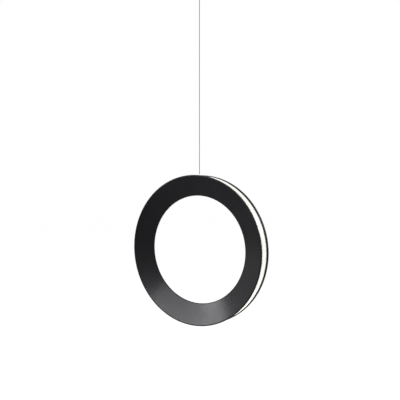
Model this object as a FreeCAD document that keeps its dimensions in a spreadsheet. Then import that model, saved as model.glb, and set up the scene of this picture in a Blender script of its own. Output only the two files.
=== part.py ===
"""LED ring pendant: one upright ring with a luminous rim, hung on a single thin wire.

Millimetres, +Z up. The origin is the middle of the ceiling plate's upper face, on the wire's
line. The ring stands upright with its axis along Y, and its dished face looks towards -Y.
"""
import FreeCAD, Part
import math
import os
import re
import Sketcher

# Every independent size: its name, its value in millimetres (or degrees, or a count), and
# what it measures.
SIZES = [
    # the ring's shells
    ("ring_radius", 200, "outer radius of the front rim"),
    ("ring_width", 55, "rim to hole, along the radius"),
    ("ring_depth", 42.4, "front rim to rear rim"),
    ("front_lip", 4, "depth of the lip in front of the luminous band"),
    ("rear_band", 8.1, "depth of the band behind the luminous band"),
    ("rear_overhang", 0.6, "how far the rear band stands out beyond the front rim"),
    ("shell_wall", 1.5, "wall of the front lip and of the hem round the hole"),
    ("skin_depth", 1.2, "wall of both cones, measured along the ring's axis"),
    ("rim_flat", 2.8, "flat ring at the outer edge of the front cone"),
    ("rear_flat", 1.2, "flat ring at the outer edge of the rear cone"),
    ("hole_edge_depth", 23.4, "how far the thin edge round the hole lies behind the front rim"),
    ("hem_clearance", 0.1, "gap between the front shell's hem and the rear shell"),
    ("seam_gap", 0.3, "gap between the two cones where they meet at the hem"),
    ("rim_edge", 0.5, "broken edge of the rims"),
    # the opal band
    ("diffuser_wall", 2.8, "wall of the opal band"),
    ("diffuser_gap", 0.15, "gap round the opal band under the lips that hold it"),
    ("tongue_reach", 1.2, "how far the opal band reaches in under the rear band"),
    # the light inside
    ("light_gap", 14, "air between the strip and the opal band"),
    ("carrier_wall", 2, "wall of the hoop that carries the strip"),
    ("carrier_clearance", 0.2, "gap between the hoop and the cones"),
    ("strip_width", 10, "width of the flexible circuit board"),
    ("strip_thickness", 0.5, "thickness of the flexible circuit board"),
    ("chip_length", 3.5, "length of a diode along the strip"),
    ("chip_width", 2.8, "width of a diode across the strip"),
    ("chip_height", 0.8, "height of a diode"),
    ("chip_count", 120, "diodes round the strip"),
    # the blocks and screws that hold the ring together
    ("block_count", 6, "blocks round the ring"),
    ("block_angle", 5.4, "angle of the ring that a block fills"),
    ("block_length", 14, "radial length of a block"),
    ("block_clearance", 0.1, "gap between a block and what it seats on"),
    ("screw_radius", 1.5, "shank of all small screws"),
    ("screw_head_radius", 2.75, "head of all small screws"),
    ("screw_head_height", 1.65, "height of those heads"),
    ("screw_hole_gap", 0.15, "gap round a screw in its clearance hole"),
    ("shell_screw_length", 8, "length of a rear shell screw under its head"),
    ("shell_screw_inset", 4.5, "rear shell screws outside a block's inner end"),
    ("screw_seat_gap", 0.03, "gap under a screw head that seats on a curved wall"),
    ("hoop_screw_length", 5.5, "length of a hoop screw under its head"),
    ("hoop_screw_gap", 2.1, "gap between the strip and the heads of the hoop screws"),
    # the wire and its lower end
    ("cable_radius", 0.8, "radius of the wire"),
    ("cable_free", 500, "free wire from the gripper's mouth to the ring"),
    ("end_gap", 0.05, "gap between the wire's runs where the pendant bends"),
    ("cable_inset", 2.7, "the wire's line behind the front edge of the rear band"),
    ("ferrule_radius", 1.25, "shank of the swaged ferrule"),
    ("ferrule_stub", 2, "how far the ferrule stands above the rear band"),
    ("ferrule_head_radius", 1.85, "head of the ferrule"),
    ("ferrule_head_height", 1.5, "height of that head"),
    ("running_gap", 0.05, "running clearance of the ferrule in its bush"),
    ("bush_wall", 0.45, "wall of the insulating bush"),
    ("boss_neck_radius", 2.2, "boss where it passes through the rear band"),
    ("boss_radius", 2.5, "boss inside the ring"),
    ("boss_length", 3.3, "length of the boss inside the ring"),
    ("boss_wall", 0.45, "wall of the boss round the ferrule's head"),
    ("boss_hole_gap", 0.1, "gap round the boss in the rear band"),
    ("cap_thickness", 0.6, "disc that closes the boss"),
    ("cap_hole_radius", 1.5, "hole in that disc for the two leads"),
    # splice block and leads inside the ring
    ("feed_length", 10, "splice block along the strip"),
    ("feed_width", 9.2, "splice block across the hoop"),
    ("feed_height", 4.5, "splice block above the hoop"),
    ("block_round", 0.5, "rounding of the splice blocks"),
    ("lead_radius", 0.5, "all insulated leads"),
    # the canopy
    ("canopy_room", 6.4, "canopy's rim beyond the driver's far corner"),
    ("canopy_height", 30, "ceiling to the canopy's underside"),
    ("canopy_wall", 1.2, "wall of the canopy"),
    ("canopy_round", 2.5, "rounding of the canopy's lower edge"),
    ("canopy_top_gap", 0.4, "gap between the canopy's rim and the ceiling"),
    ("plate_gap", 1.3, "gap between the ceiling plate's tabs and the canopy"),
    ("plate_thickness", 1.5, "ceiling plate"),
    ("tab_width", 12, "width of a folded tab"),
    ("tab_height", 12, "height of a folded tab"),
    ("tab_count", 3, "tabs and canopy screws"),
    ("tab_screw_depth", 8, "canopy screws below the ceiling"),
    ("tab_screw_length", 5, "canopy screw under its head"),
    ("slot_spacing", 80, "distance between the two ceiling slots"),
    ("slot_length", 12, "end to end length of a ceiling slot"),
    ("slot_radius", 2.25, "half the width of a ceiling slot"),
    ("entry_x", -22, "mains entry, across"),
    ("entry_y", -26, "mains entry, fore and aft"),
    ("entry_radius", 4, "bore of the mains entry grommet"),
    ("grommet_wall", 1.5, "wall of the grommet in the plate's hole"),
    ("grommet_flange", 1.5, "how far the grommet's flange reaches over the plate"),
    ("grommet_lip", 1.2, "thickness of the grommet's flange"),
    # what the ceiling plate carries
    ("driver_length", 60, "driver case, across"),
    ("driver_width", 28, "driver case, fore and aft"),
    ("driver_height", 20, "driver case below the plate"),
    ("driver_gap", 2, "gap between the driver and the ball's seat"),
    ("driver_round", 2, "rounding of the driver case"),
    ("driver_cap", 2, "thickness of an end cap"),
    ("driver_ear", 7, "length of an end cap's foot"),
    ("driver_ear_width", 8, "width of an end cap's foot"),
    ("driver_ear_height", 2.5, "thickness of an end cap's foot"),
    ("terminal_x", 25, "middle of the terminal block, across"),
    ("terminal_y", -24, "middle of the terminal block, fore and aft"),
    ("terminal_pitch", 8.5, "distance between the terminals"),
    ("terminal_depth", 14, "terminal block, fore and aft"),
    ("terminal_height", 13, "terminal block below the plate"),
    ("terminal_bore", 1.6, "wire entries of the terminal block"),
    ("terminal_screw_radius", 2, "terminal screws"),
    ("terminal_screw_length", 5, "terminal screws"),
    ("clamp_y", -40, "middle of the mains strain clamp, fore and aft"),
    ("clamp_span", 17, "distance between the clamp's two screws"),
    ("clamp_width", 8, "width of the clamp's strap"),
    ("clamp_strap", 1.5, "thickness of the clamp's strap"),
    ("clamp_arch", 3.6, "inner radius of the clamp's arch"),
    ("clamp_foot", 8, "length of each of the clamp's feet"),
    ("earth_x", -32, "earth screw, across"),
    ("earth_y", -12, "earth screw, fore and aft"),
    ("plate_screw_length", 5, "screws that go into the ceiling plate"),
    ("coupler_x", -20, "middle of the coupler, across"),
    ("coupler_length", 14, "coupler, across"),
    ("coupler_width", 8, "coupler, fore and aft"),
    ("coupler_height", 9, "coupler below the plate"),
    ("output_spacing", 5, "distance between the two output leads"),
    # the ball and the gripper
    ("ball_radius", 9, "swivel ball"),
    ("ball_rise", 6, "ball's centre above the canopy's underside"),
    ("ball_gap", 0.2, "gap between the ball and its seat"),
    ("ball_hole_gap", 0.4, "gap between the ball and the canopy's hole"),
    ("seat_radius", 13, "outer radius of the ball's seat"),
    ("seat_height", 6, "height of the ball's seat"),
    ("flare_angle", 32, "half angle of the ball's upper funnel"),
    ("flare_throat", 1.7, "radius at the bottom of that funnel"),
    ("barrel_drop", 11, "ball's centre to the barrel's shoulder"),
    ("barrel_radius", 5.5, "gripper barrel"),
    ("barrel_length", 22, "gripper barrel"),
    ("barrel_roof", 3, "solid top of the barrel"),
    ("barrel_chamfer", 0.8, "chamfers of the barrel"),
    ("neck_radius", 3, "threaded neck between ball and barrel"),
    ("neck_end", 1.6, "ball's centre to the top of the neck"),
    ("guide_radius", 1.1, "bore that guides the wire"),
    ("chamber_radius", 3.6, "spring chamber in the barrel"),
    ("chamber_length", 8, "spring chamber in the barrel"),
    ("cone_length", 6, "cone that the gripping balls wedge in"),
    ("plunger_radius", 2.4, "plunger in the barrel's mouth"),
    ("plunger_gap", 0.1, "gap between the plunger and the barrel's mouth"),
    ("nose_length", 5, "plunger below the barrel"),
    ("nose_radius", 3.4, "finger flange of the plunger"),
    ("nose_flange", 1.8, "thickness of that flange"),
    ("grip_ball_radius", 1.2, "gripping ball"),
    ("grip_ball_count", 3, "gripping balls"),
    ("grip_gap", 0.05, "gap round a gripping ball"),
    ("spring_radius", 2.7, "middle radius of the spring's coils"),
    ("spring_wire", 0.35, "radius of the spring's wire"),
]

NAMES = re.compile(r"\b(" + "|".join(name for name, value, note in SIZES) + r")\b")


def bound(text):
    """An expression on the sheet's aliases, from a formula on the plain names of the sizes."""
    return NAMES.sub(r"Sizes.\1", str(text))


# Formulas that more than one piece reads. Depths are measured from the front rim, radii from
# the ring's axis.
CONE_START = "(ring_radius - rim_flat)"
HOLE_RADIUS = "(ring_radius - ring_width)"
FRONT_SLOPE = "(hole_edge_depth / (ring_width - rim_flat - shell_wall))"
SEAM_RADIUS = f"({HOLE_RADIUS} + shell_wall + hem_clearance)"
LIP_INSIDE = "(ring_radius - shell_wall)"
REAR_RADIUS = "(ring_radius + rear_overhang)"
REAR_START = f"({REAR_RADIUS} - rear_flat)"
BAND_WALL = "(rear_overhang + shell_wall)"


def front_face(radius):
    """Depth of the dished front face at a radius."""
    return f"({FRONT_SLOPE} * ({CONE_START} - {radius}))"


def front_inside(radius):
    """Depth of the front cone's hidden side at a radius."""
    return f"({front_face(radius)} + skin_depth)"


HEM_END = f"({front_inside(SEAM_RADIUS)} + seam_gap + skin_depth)"
REAR_SLOPE = f"((ring_depth - {HEM_END}) / ({REAR_START} - {SEAM_RADIUS}))"


def rear_face(radius):
    """Depth of the rear cone's outer face at a radius."""
    return f"(ring_depth - {REAR_SLOPE} * ({REAR_START} - {radius}))"


def rear_inside(radius):
    """Depth of the rear cone's hidden side at a radius."""
    return f"({rear_face(radius)} - skin_depth)"


BAND_FRONT = "(ring_depth - rear_band)"
CABLE_DEPTH = f"({BAND_FRONT} + cable_inset)"
DIFFUSER_OUTSIDE = f"({LIP_INSIDE} - diffuser_gap)"
DIFFUSER_INSIDE = f"({DIFFUSER_OUTSIDE} - diffuser_wall)"
STRIP_OUTSIDE = f"({DIFFUSER_INSIDE} - light_gap)"
CARRIER_OUTSIDE = f"({STRIP_OUTSIDE} - strip_thickness)"
CARRIER_INSIDE = f"({CARRIER_OUTSIDE} - carrier_wall)"
STRIP_MIDDLE = f"((front_lip + {BAND_FRONT}) / 2)"
BLOCK_OUTSIDE = f"({CARRIER_INSIDE} - block_clearance)"
BLOCK_INSIDE = f"({BLOCK_OUTSIDE} - block_length)"
SHELL_SCREW_RADIUS = f"({BLOCK_INSIDE} + shell_screw_inset)"
HOOP_SCREW_DEPTH = f"({STRIP_MIDDLE} + strip_width / 2 + hoop_screw_gap + screw_head_radius)"

# Heights below the ceiling, on the wire's line.
BALL_Z = "(ball_rise - canopy_height)"
BARREL_TOP = f"({BALL_Z} - barrel_drop)"
BARREL_END = f"({BARREL_TOP} - barrel_length)"
MOUTH_Z = f"({BARREL_END} - nose_length)"
RING_TOP = f"({MOUTH_Z} - cable_free)"
RING_CENTRE = f"({RING_TOP} - {REAR_RADIUS})"
PLATE_UNDER = "(-plate_thickness)"
DRIVER_Y = "(seat_radius + driver_gap + driver_width / 2)"
DRIVER_CORNER = f"sqrt((driver_length / 2 + driver_cap) ^ 2 + ({DRIVER_Y} + driver_width / 2) ^ 2)"
CANOPY_RADIUS = f"({DRIVER_CORNER} + canopy_room)"
PLATE_RADIUS = f"({CANOPY_RADIUS} - canopy_wall - plate_gap)"
CHAMBER_END = "(barrel_roof + chamber_length)"
MOUTH_BORE = "(plunger_radius + plunger_gap)"
GRIP_CIRCLE = "(cable_radius + grip_gap + grip_ball_radius)"
CONE_TAPER = f"((chamber_radius - {MOUTH_BORE}) / cone_length)"
GRIP_REACH = f"({GRIP_CIRCLE} + (grip_ball_radius + grip_gap) * sqrt(1 + {CONE_TAPER} ^ 2))"
GRIP_DEPTH = f"({CHAMBER_END} + (chamber_radius - {GRIP_REACH}) / {CONE_TAPER})"


class Model:
    """The document, its sheet of sizes and the sub-parts made so far."""

    def __init__(self):
        self.doc = FreeCAD.newDocument("ring_pendant")
        self.sheet = self.doc.addObject("Spreadsheet::Sheet", "Sizes")
        for row, (name, value, note) in enumerate(SIZES, start=1):
            cell = f"A{row}"
            self.sheet.set(cell, str(value))
            self.sheet.setAlias(cell, name)
        self.doc.recompute()
        self.sub_parts = []

    def value(self, formula):
        """What a formula on the sizes comes to."""
        result = self.sheet.evalExpression(bound(formula))
        return float(getattr(result, "Value", result))

    def keep(self, piece, label, x="0", y="0", z="0"):
        """Name a finished sub-part, put it in its place and list it for writing."""
        piece.Label = label
        self.place(piece, x, y, z)
        self.sub_parts.append(piece)
        return piece

    def place(self, piece, x="0", y="0", z="0"):
        """Bind a piece's position to formulas."""
        for axis, formula in (("x", x), ("y", y), ("z", z)):
            piece.setExpression(f".Placement.Base.{axis}", bound(formula))
        return piece


def origin_feature(body, role):
    """One of a body's own origin planes or axes."""
    return next(item for item in body.Origin.OriginFeatures if item.Role == role)


def new_sketch(body, name, plane):
    sketch = body.newObject("Sketcher::SketchObject", name)
    sketch.AttachmentSupport = [(origin_feature(body, plane), "")]
    sketch.MapMode = "FlatFace"
    return sketch


def pin_point(sketch, model, line, point, formulas):
    """Fix one end of a line, or a centre, at two formulas."""
    for kind, formula in zip(("DistanceX", "DistanceY"), formulas):
        constraint = Sketcher.Constraint(kind, line, point, model.value(formula))
        index = sketch.addConstraint(constraint)
        sketch.setExpression(f"Constraints[{index}]", bound(formula))


def add_outline(sketch, model, corners):
    """A closed outline of straight lines whose corners are pairs of formulas."""
    first = sketch.GeometryCount
    places = [FreeCAD.Vector(model.value(x), model.value(y), 0) for x, y in corners]
    count = len(corners)
    for index in range(count):
        line = Part.LineSegment(places[index], places[(index + 1) % count])
        sketch.addGeometry(line)
    for index in range(count):
        following = first + (index + 1) % count
        sketch.addConstraint(Sketcher.Constraint("Coincident", first + index, 2, following, 1))
    for index, formulas in enumerate(corners):
        pin_point(sketch, model, first + index, 1, formulas)


def add_axis(sketch, model, start, end):
    """A construction line that a turned feature goes round."""
    line = Part.LineSegment(
        FreeCAD.Vector(model.value(start[0]), model.value(start[1]), 0),
        FreeCAD.Vector(model.value(end[0]), model.value(end[1]), 0),
    )
    index = sketch.addGeometry(line, True)
    pin_point(sketch, model, index, 1, start)
    pin_point(sketch, model, index, 2, end)


def add_circle(sketch, model, centre, radius):
    """A circle round a point given as formulas."""
    middle = FreeCAD.Vector(model.value(centre[0]), model.value(centre[1]), 0)
    circle = Part.Circle(middle, FreeCAD.Vector(0, 0, 1), model.value(radius))
    index = sketch.addGeometry(circle)
    pin_point(sketch, model, index, 3, centre)
    size = sketch.addConstraint(Sketcher.Constraint("Radius", index, model.value(radius)))
    sketch.setExpression(f"Constraints[{size}]", bound(radius))


def add_slot(sketch, model, centre, length, radius):
    """A slot along the sketch's first axis."""
    reach = f"({length} / 2 - {radius})"
    left = (f"({centre[0]} - {reach})", centre[1])
    right = (f"({centre[0]} + {reach})", centre[1])
    size = model.value(radius)
    ends = [FreeCAD.Vector(model.value(x), model.value(y), 0) for x, y in (left, right)]
    up = FreeCAD.Vector(0, size, 0)
    normal = FreeCAD.Vector(0, 0, 1)
    quarter = math.pi / 2
    first = sketch.addGeometry(
        Part.ArcOfCircle(Part.Circle(ends[0], normal, size), quarter, 3 * quarter))
    second = sketch.addGeometry(
        Part.ArcOfCircle(Part.Circle(ends[1], normal, size), -quarter, quarter))
    lower = sketch.addGeometry(Part.LineSegment(ends[0] - up, ends[1] - up))
    upper = sketch.addGeometry(Part.LineSegment(ends[1] + up, ends[0] + up))
    for one, one_end, other, other_end in (
            (first, 2, lower, 1), (lower, 2, second, 1),
            (second, 2, upper, 1), (upper, 2, first, 1)):
        sketch.addConstraint(
            Sketcher.Constraint("Tangent", one, one_end, other, other_end))
    sketch.addConstraint(Sketcher.Constraint("Equal", first, second))
    pin_point(sketch, model, first, 3, left)
    pin_point(sketch, model, second, 3, right)
    index = sketch.addConstraint(Sketcher.Constraint("Radius", first, size))
    sketch.setExpression(f"Constraints[{index}]", bound(radius))


def new_body(model, name):
    return model.doc.addObject("PartDesign::Body", name)


def turned(model, body, name, plane, corners, axis=None, kind="Revolution", angle="360"):
    """Turn an outline about the sketch's upright axis, or about an axis line of its own."""
    sketch = new_sketch(body, name + "_outline", plane)
    add_outline(sketch, model, corners)
    if axis:
        add_axis(sketch, model, *axis)
    feature = body.newObject("PartDesign::" + kind, name)
    feature.Profile = (sketch, [""])
    feature.ReferenceAxis = (sketch, ["Axis0" if axis else "V_Axis"])
    feature.setExpression("Angle", bound(angle))
    feature.Midplane = angle != "360"
    body.Tip = feature
    return feature


def raised(model, body, name, plane, draw, length, offset="0", kind="Pad", midplane=False,
           reverse=False):
    """Pad or pocket what draw puts in a sketch, from a height above the plane."""
    sketch = new_sketch(body, name + "_outline", plane)
    draw(sketch)
    sketch.setExpression(".AttachmentOffset.Base.z", bound(offset))
    feature = body.newObject("PartDesign::" + kind, name)
    feature.Profile = (sketch, [""])
    feature.setExpression("Length", bound(length))
    feature.Midplane = midplane
    feature.Reversed = reverse
    body.Tip = feature
    return feature


def around(body, name, features, axis, count):
    """Repeat features evenly about one of the body's axes."""
    pattern = body.newObject("PartDesign::PolarPattern", name)
    pattern.Originals = features
    pattern.Axis = (origin_feature(body, axis), [""])
    pattern.Angle = 360
    pattern.setExpression("Occurrences", bound(count))
    body.Tip = pattern
    return pattern


def in_a_row(body, name, features, axis, length, count):
    """Repeat features evenly along one of the body's axes."""
    pattern = body.newObject("PartDesign::LinearPattern", name)
    pattern.Originals = features
    pattern.Direction = (origin_feature(body, axis), [""])
    pattern.setExpression("Length", bound(length))
    pattern.setExpression("Occurrences", bound(count))
    body.Tip = pattern
    return pattern


def round_circles(model, body, name, radius, circles, axis):
    """Round the full circles at given radii and heights along the axis."""
    model.doc.recompute()
    base = body.Tip
    wanted = [(model.value(size), model.value(height)) for size, height in circles]
    edges = []
    for index, edge in enumerate(base.Shape.Edges, start=1):
        if not isinstance(edge.Curve, Part.Circle):
            continue
        height = getattr(edge.Curve.Center, axis)
        for size, level in wanted:
            if abs(edge.Curve.Radius - size) < 0.001 and abs(height - level) < 0.001:
                edges.append(f"Edge{index}")
    return finish_edges(body, name, "Fillet", "Radius", radius, edges)


def round_uprights(model, body, name, radius, axis="z"):
    """Round the straight edges that run along an axis."""
    model.doc.recompute()
    edges = []
    for index, edge in enumerate(body.Tip.Shape.Edges, start=1):
        if isinstance(edge.Curve, Part.Line):
            if abs(abs(getattr(edge.Curve.Direction, axis)) - 1) < 0.001:
                edges.append(f"Edge{index}")
    return finish_edges(body, name, "Fillet", "Radius", radius, edges)


def finish_edges(body, name, kind, size_name, size, edges):
    base = body.Tip
    feature = body.newObject("PartDesign::" + kind, name)
    feature.Base = (base, edges)
    feature.setExpression(size_name, bound(size))
    body.Tip = feature
    return feature


def rectangle(low_x, low_y, high_x, high_y):
    """The four corners of an upright rectangle."""
    return [(low_x, low_y), (high_x, low_y), (high_x, high_y), (low_x, high_y)]


def screw_outline(length, radius="screw_radius"):
    """Half a button-head screw, upright, with the underside of its head at height 0."""
    return [
        ("0", f"(-{length})"), (radius, f"(-{length})"), (radius, "0"),
        ("screw_head_radius", "0"), ("screw_head_radius", "(screw_head_height / 2)"),
        ("(screw_head_radius - screw_head_height / 2)", "screw_head_height"),
        ("0", "screw_head_height"),
    ]


# ---------------------------------------------------------------- the ring's shells

def ring_piece(model, body, label):
    """Put a ring piece, drawn from the middle of the front rim, on the wire's line."""
    return model.keep(body, label, y=f"(-{CABLE_DEPTH})", z=RING_CENTRE)


def make_front_shell(model):
    """Spun front cone: flat rim with its lip, dished face, hem round the hole."""
    body = new_body(model, "front_shell")
    hem_outside = f"({HOLE_RADIUS} + shell_wall)"
    turned(model, body, "cone", "XY_Plane", [
        ("(ring_radius - rim_edge)", "0"), ("ring_radius", "rim_edge"),
        ("ring_radius", "front_lip"), (LIP_INSIDE, "front_lip"), (LIP_INSIDE, "skin_depth"),
        (CONE_START, "skin_depth"), (hem_outside, front_inside(hem_outside)),
        (hem_outside, HEM_END), (f"({HOLE_RADIUS} + rim_edge)", HEM_END),
        (HOLE_RADIUS, f"({HEM_END} - rim_edge)"), (HOLE_RADIUS, "hole_edge_depth"),
        (hem_outside, "hole_edge_depth"), (CONE_START, "0"),
    ])
    return ring_piece(model, body, "front_shell")


def on_rear_cone(along, outward):
    """A point beside a rear shell screw: along the cone's slope, and out from its face."""
    norm = f"sqrt(1 + {REAR_SLOPE} ^ 2)"
    return (f"({SHELL_SCREW_RADIUS} + ({along} - {REAR_SLOPE} * {outward}) / {norm})",
            f"({rear_face(SHELL_SCREW_RADIUS)} + ({REAR_SLOPE} * {along} + {outward}) / {norm})")


def rear_screw_bore(model, body, radius, depth):
    """Bore square to the rear cone, where a shell screw goes."""
    corners = [on_rear_cone(*corner) for corner in rectangle("0", f"(-{depth})", radius, "1")]
    axis = (on_rear_cone("0", "(-1)"), on_rear_cone("0", "1"))
    return turned(model, body, "screw_bore", "XY_Plane", corners, axis, kind="Groove")


def make_rear_shell(model):
    """Spun rear cone with the wide band, drilled for its screws and for the wire's boss."""
    body = new_body(model, "rear_shell")
    turned(model, body, "cone", "XY_Plane", [
        (REAR_RADIUS, BAND_FRONT), (REAR_RADIUS, "(ring_depth - rim_edge)"),
        (f"({REAR_RADIUS} - rim_edge)", "ring_depth"), (REAR_START, "ring_depth"),
        (SEAM_RADIUS, HEM_END), (SEAM_RADIUS, rear_inside(SEAM_RADIUS)),
        (LIP_INSIDE, rear_inside(LIP_INSIDE)), (LIP_INSIDE, BAND_FRONT),
    ])
    bore = rear_screw_bore(model, body, "(screw_radius + screw_hole_gap)", "(3 * skin_depth)")
    around(body, "screw_bores", [bore], "Y_Axis", "block_count")
    raised(model, body, "boss_hole", "XY_Plane",
           lambda sketch: add_circle(sketch, model, ("0", CABLE_DEPTH),
                                     "(boss_neck_radius + boss_hole_gap)"),
           f"({REAR_RADIUS} + 1)", kind="Pocket", reverse=True)
    return ring_piece(model, body, "rear_shell")


def make_diffuser(model):
    """Opal band, slid in under the front lip and the rear band, notched round the boss."""
    body = new_body(model, "diffuser_hoop")
    turned(model, body, "hoop", "XY_Plane",
           rectangle(DIFFUSER_INSIDE, f"({front_inside(DIFFUSER_INSIDE)} + diffuser_gap)",
                     DIFFUSER_OUTSIDE, f"({BAND_FRONT} + tongue_reach)"))
    raised(model, body, "boss_notch", "XY_Plane",
           lambda sketch: add_circle(sketch, model, ("0", CABLE_DEPTH),
                                     "(boss_radius + diffuser_gap)"),
           f"({REAR_RADIUS} + 1)", kind="Pocket", reverse=True)
    return ring_piece(model, body, "diffuser_hoop")


# ---------------------------------------------------------------- the light inside the ring

def make_carrier(model):
    """Rolled aluminium hoop that carries the strip, its edges bevelled to the two cones."""
    body = new_body(model, "led_carrier_hoop")
    corners = []
    for radius in (CARRIER_OUTSIDE, CARRIER_INSIDE):
        front = (radius, f"({front_inside(radius)} + carrier_clearance)")
        rear = (radius, f"({rear_inside(radius)} - carrier_clearance)")
        corners += [front, rear] if radius is CARRIER_OUTSIDE else [rear, front]
    turned(model, body, "hoop", "XY_Plane", corners)
    bore = turned(model, body, "screw_bore", "XY_Plane",
                  rectangle(f"({CARRIER_INSIDE} - 1)", HOOP_SCREW_DEPTH,
                            f"({CARRIER_OUTSIDE} + 1)",
                            f"({HOOP_SCREW_DEPTH} + screw_radius + screw_hole_gap)"),
                  ((CARRIER_INSIDE, HOOP_SCREW_DEPTH), (CARRIER_OUTSIDE, HOOP_SCREW_DEPTH)),
                  kind="Groove")
    around(body, "screw_bores", [bore], "Y_Axis", "block_count")
    return ring_piece(model, body, "led_carrier_hoop")


def make_strip(model):
    """Flexible circuit board round the hoop."""
    body = new_body(model, "led_strip")
    turned(model, body, "board", "XY_Plane",
           rectangle(CARRIER_OUTSIDE, f"({STRIP_MIDDLE} - strip_width / 2)",
                     STRIP_OUTSIDE, f"({STRIP_MIDDLE} + strip_width / 2)"))
    return ring_piece(model, body, "led_strip")


def make_chips(model):
    """Diodes in a row round the strip."""
    body = new_body(model, "led_chips")
    chip = raised(model, body, "chip", "XY_Plane",
                  lambda sketch: add_outline(sketch, model, rectangle(
                      STRIP_OUTSIDE, f"({STRIP_MIDDLE} - chip_width / 2)",
                      f"({STRIP_OUTSIDE} + chip_height)", f"({STRIP_MIDDLE} + chip_width / 2)")),
                  "chip_length", midplane=True)
    around(body, "chips", [chip], "Y_Axis", "chip_count")
    return ring_piece(model, body, "led_chips")


def make_blocks(model):
    """Wedge blocks that fill the gap between the two cones and carry the hoop."""
    body = new_body(model, "hoop_blocks")
    corners = [
        (BLOCK_OUTSIDE, f"({front_inside(BLOCK_OUTSIDE)} + block_clearance)"),
        (BLOCK_OUTSIDE, f"({rear_inside(BLOCK_OUTSIDE)} - block_clearance)"),
        (BLOCK_INSIDE, f"({rear_inside(BLOCK_INSIDE)} - block_clearance)"),
        (BLOCK_INSIDE, f"({front_inside(BLOCK_INSIDE)} + block_clearance)"),
    ]
    block = turned(model, body, "block", "XY_Plane", corners, angle="block_angle")
    shell_bore = rear_screw_bore(model, body, "screw_radius", "(shell_screw_length + 0.5)")
    hoop_bore = turned(model, body, "hoop_bore", "XY_Plane",
                       rectangle(f"({CARRIER_OUTSIDE} - hoop_screw_length)", HOOP_SCREW_DEPTH,
                                 f"({BLOCK_OUTSIDE} + 1)", f"({HOOP_SCREW_DEPTH} + screw_radius)"),
                       ((BLOCK_INSIDE, HOOP_SCREW_DEPTH), (BLOCK_OUTSIDE, HOOP_SCREW_DEPTH)),
                       kind="Groove")
    around(body, "blocks", [block, shell_bore, hoop_bore], "Y_Axis", "block_count")
    return ring_piece(model, body, "hoop_blocks")


def make_shell_screws(model):
    """Button-head screws, square to the rear cone, one into each block."""
    body = new_body(model, "shell_screws")
    corners = [on_rear_cone(radius, f"({height} + screw_seat_gap)")
               for radius, height in screw_outline("shell_screw_length")]
    axis = (on_rear_cone("0", "(-1)"), on_rear_cone("0", "1"))
    screw = turned(model, body, "screw", "XY_Plane", corners, axis)
    around(body, "screws", [screw], "Y_Axis", "block_count")
    return ring_piece(model, body, "shell_screws")


def make_hoop_screws(model):
    """Screws that hold the hoop on the blocks, their heads in the light chamber."""
    body = new_body(model, "hoop_screws")
    corners = [(f"({CARRIER_OUTSIDE} + screw_seat_gap + {height})",
                f"({HOOP_SCREW_DEPTH} + {radius})")
               for radius, height in screw_outline("hoop_screw_length")]
    axis = ((CARRIER_INSIDE, HOOP_SCREW_DEPTH), (CARRIER_OUTSIDE, HOOP_SCREW_DEPTH))
    screw = turned(model, body, "screw", "XY_Plane", corners, axis)
    around(body, "screws", [screw], "Y_Axis", "block_count")
    return ring_piece(model, body, "hoop_screws")


# ---------------------------------------------------------------- the wire's lower end

BUSH_INSIDE = "(ferrule_radius + running_gap)"
BUSH_OUTSIDE = f"({BUSH_INSIDE} + bush_wall)"
BOSS_CHAMBER = "(boss_radius - boss_wall)"
SEAT_DEPTH = f"({BAND_WALL} + bush_wall)"
CHAMBER_BOTTOM = f"({BAND_WALL} + boss_length)"


def make_ferrule(model):
    """Ferrule swaged on the wire: stub above the band, head under the boss's seat."""
    body = new_body(model, "cable_ferrule")
    head = f"({SEAT_DEPTH} + bush_wall + running_gap)"
    foot = f"({head} + ferrule_head_height)"
    turned(model, body, "ferrule", "XZ_Plane", [
        ("cable_radius", "ferrule_stub"),
        ("(ferrule_radius - 0.2)", "ferrule_stub"), ("ferrule_radius", "(ferrule_stub - 0.4)"),
        ("ferrule_radius", f"(-{head})"), ("ferrule_head_radius", f"(-{head})"),
        ("ferrule_head_radius", f"(-{foot})"), ("0", f"(-{foot})"),
        ("0", f"(-{head})"), ("cable_radius", f"(-{head})"),
    ])
    return model.keep(body, "cable_ferrule", z=RING_TOP)


def make_bush(model):
    """Insulating bush between the live ferrule and the boss, flanged under the seat."""
    body = new_body(model, "boss_insulator")
    turned(model, body, "bush", "XZ_Plane", [
        (BUSH_INSIDE, "0"), (BUSH_OUTSIDE, "0"), (BUSH_OUTSIDE, f"(-{SEAT_DEPTH})"),
        (BOSS_CHAMBER, f"(-{SEAT_DEPTH})"), (BOSS_CHAMBER, f"(-{SEAT_DEPTH} - bush_wall)"),
        (BUSH_INSIDE, f"(-{SEAT_DEPTH} - bush_wall)"),
    ])
    return model.keep(body, "boss_insulator", z=RING_TOP)


def make_boss(model):
    """Boss that the ferrule hangs in; its shoulder bears up against the rear band."""
    body = new_body(model, "cable_boss")
    turned(model, body, "boss", "XZ_Plane", [
        (BUSH_OUTSIDE, "(-boss_hole_gap)"), ("boss_neck_radius", "(-boss_hole_gap)"),
        ("boss_neck_radius", f"(-{BAND_WALL})"), ("boss_radius", f"(-{BAND_WALL} - boss_hole_gap)"),
        ("boss_radius", f"(-{CHAMBER_BOTTOM})"), (BOSS_CHAMBER, f"(-{CHAMBER_BOTTOM})"),
        (BOSS_CHAMBER, f"(-{SEAT_DEPTH})"), (BUSH_OUTSIDE, f"(-{SEAT_DEPTH})"),
    ])
    return model.keep(body, "cable_boss", z=RING_TOP)


def make_boss_cap(model):
    """Disc that closes the boss, so that the ferrule can't drop when the wire is slack."""
    body = new_body(model, "boss_cap")
    turned(model, body, "disc", "XZ_Plane",
           rectangle("cap_hole_radius", f"(-{CHAMBER_BOTTOM})",
                     BOSS_CHAMBER, f"(cap_thickness - {CHAMBER_BOTTOM})"))
    return model.keep(body, "boss_cap", z=RING_TOP)


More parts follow.
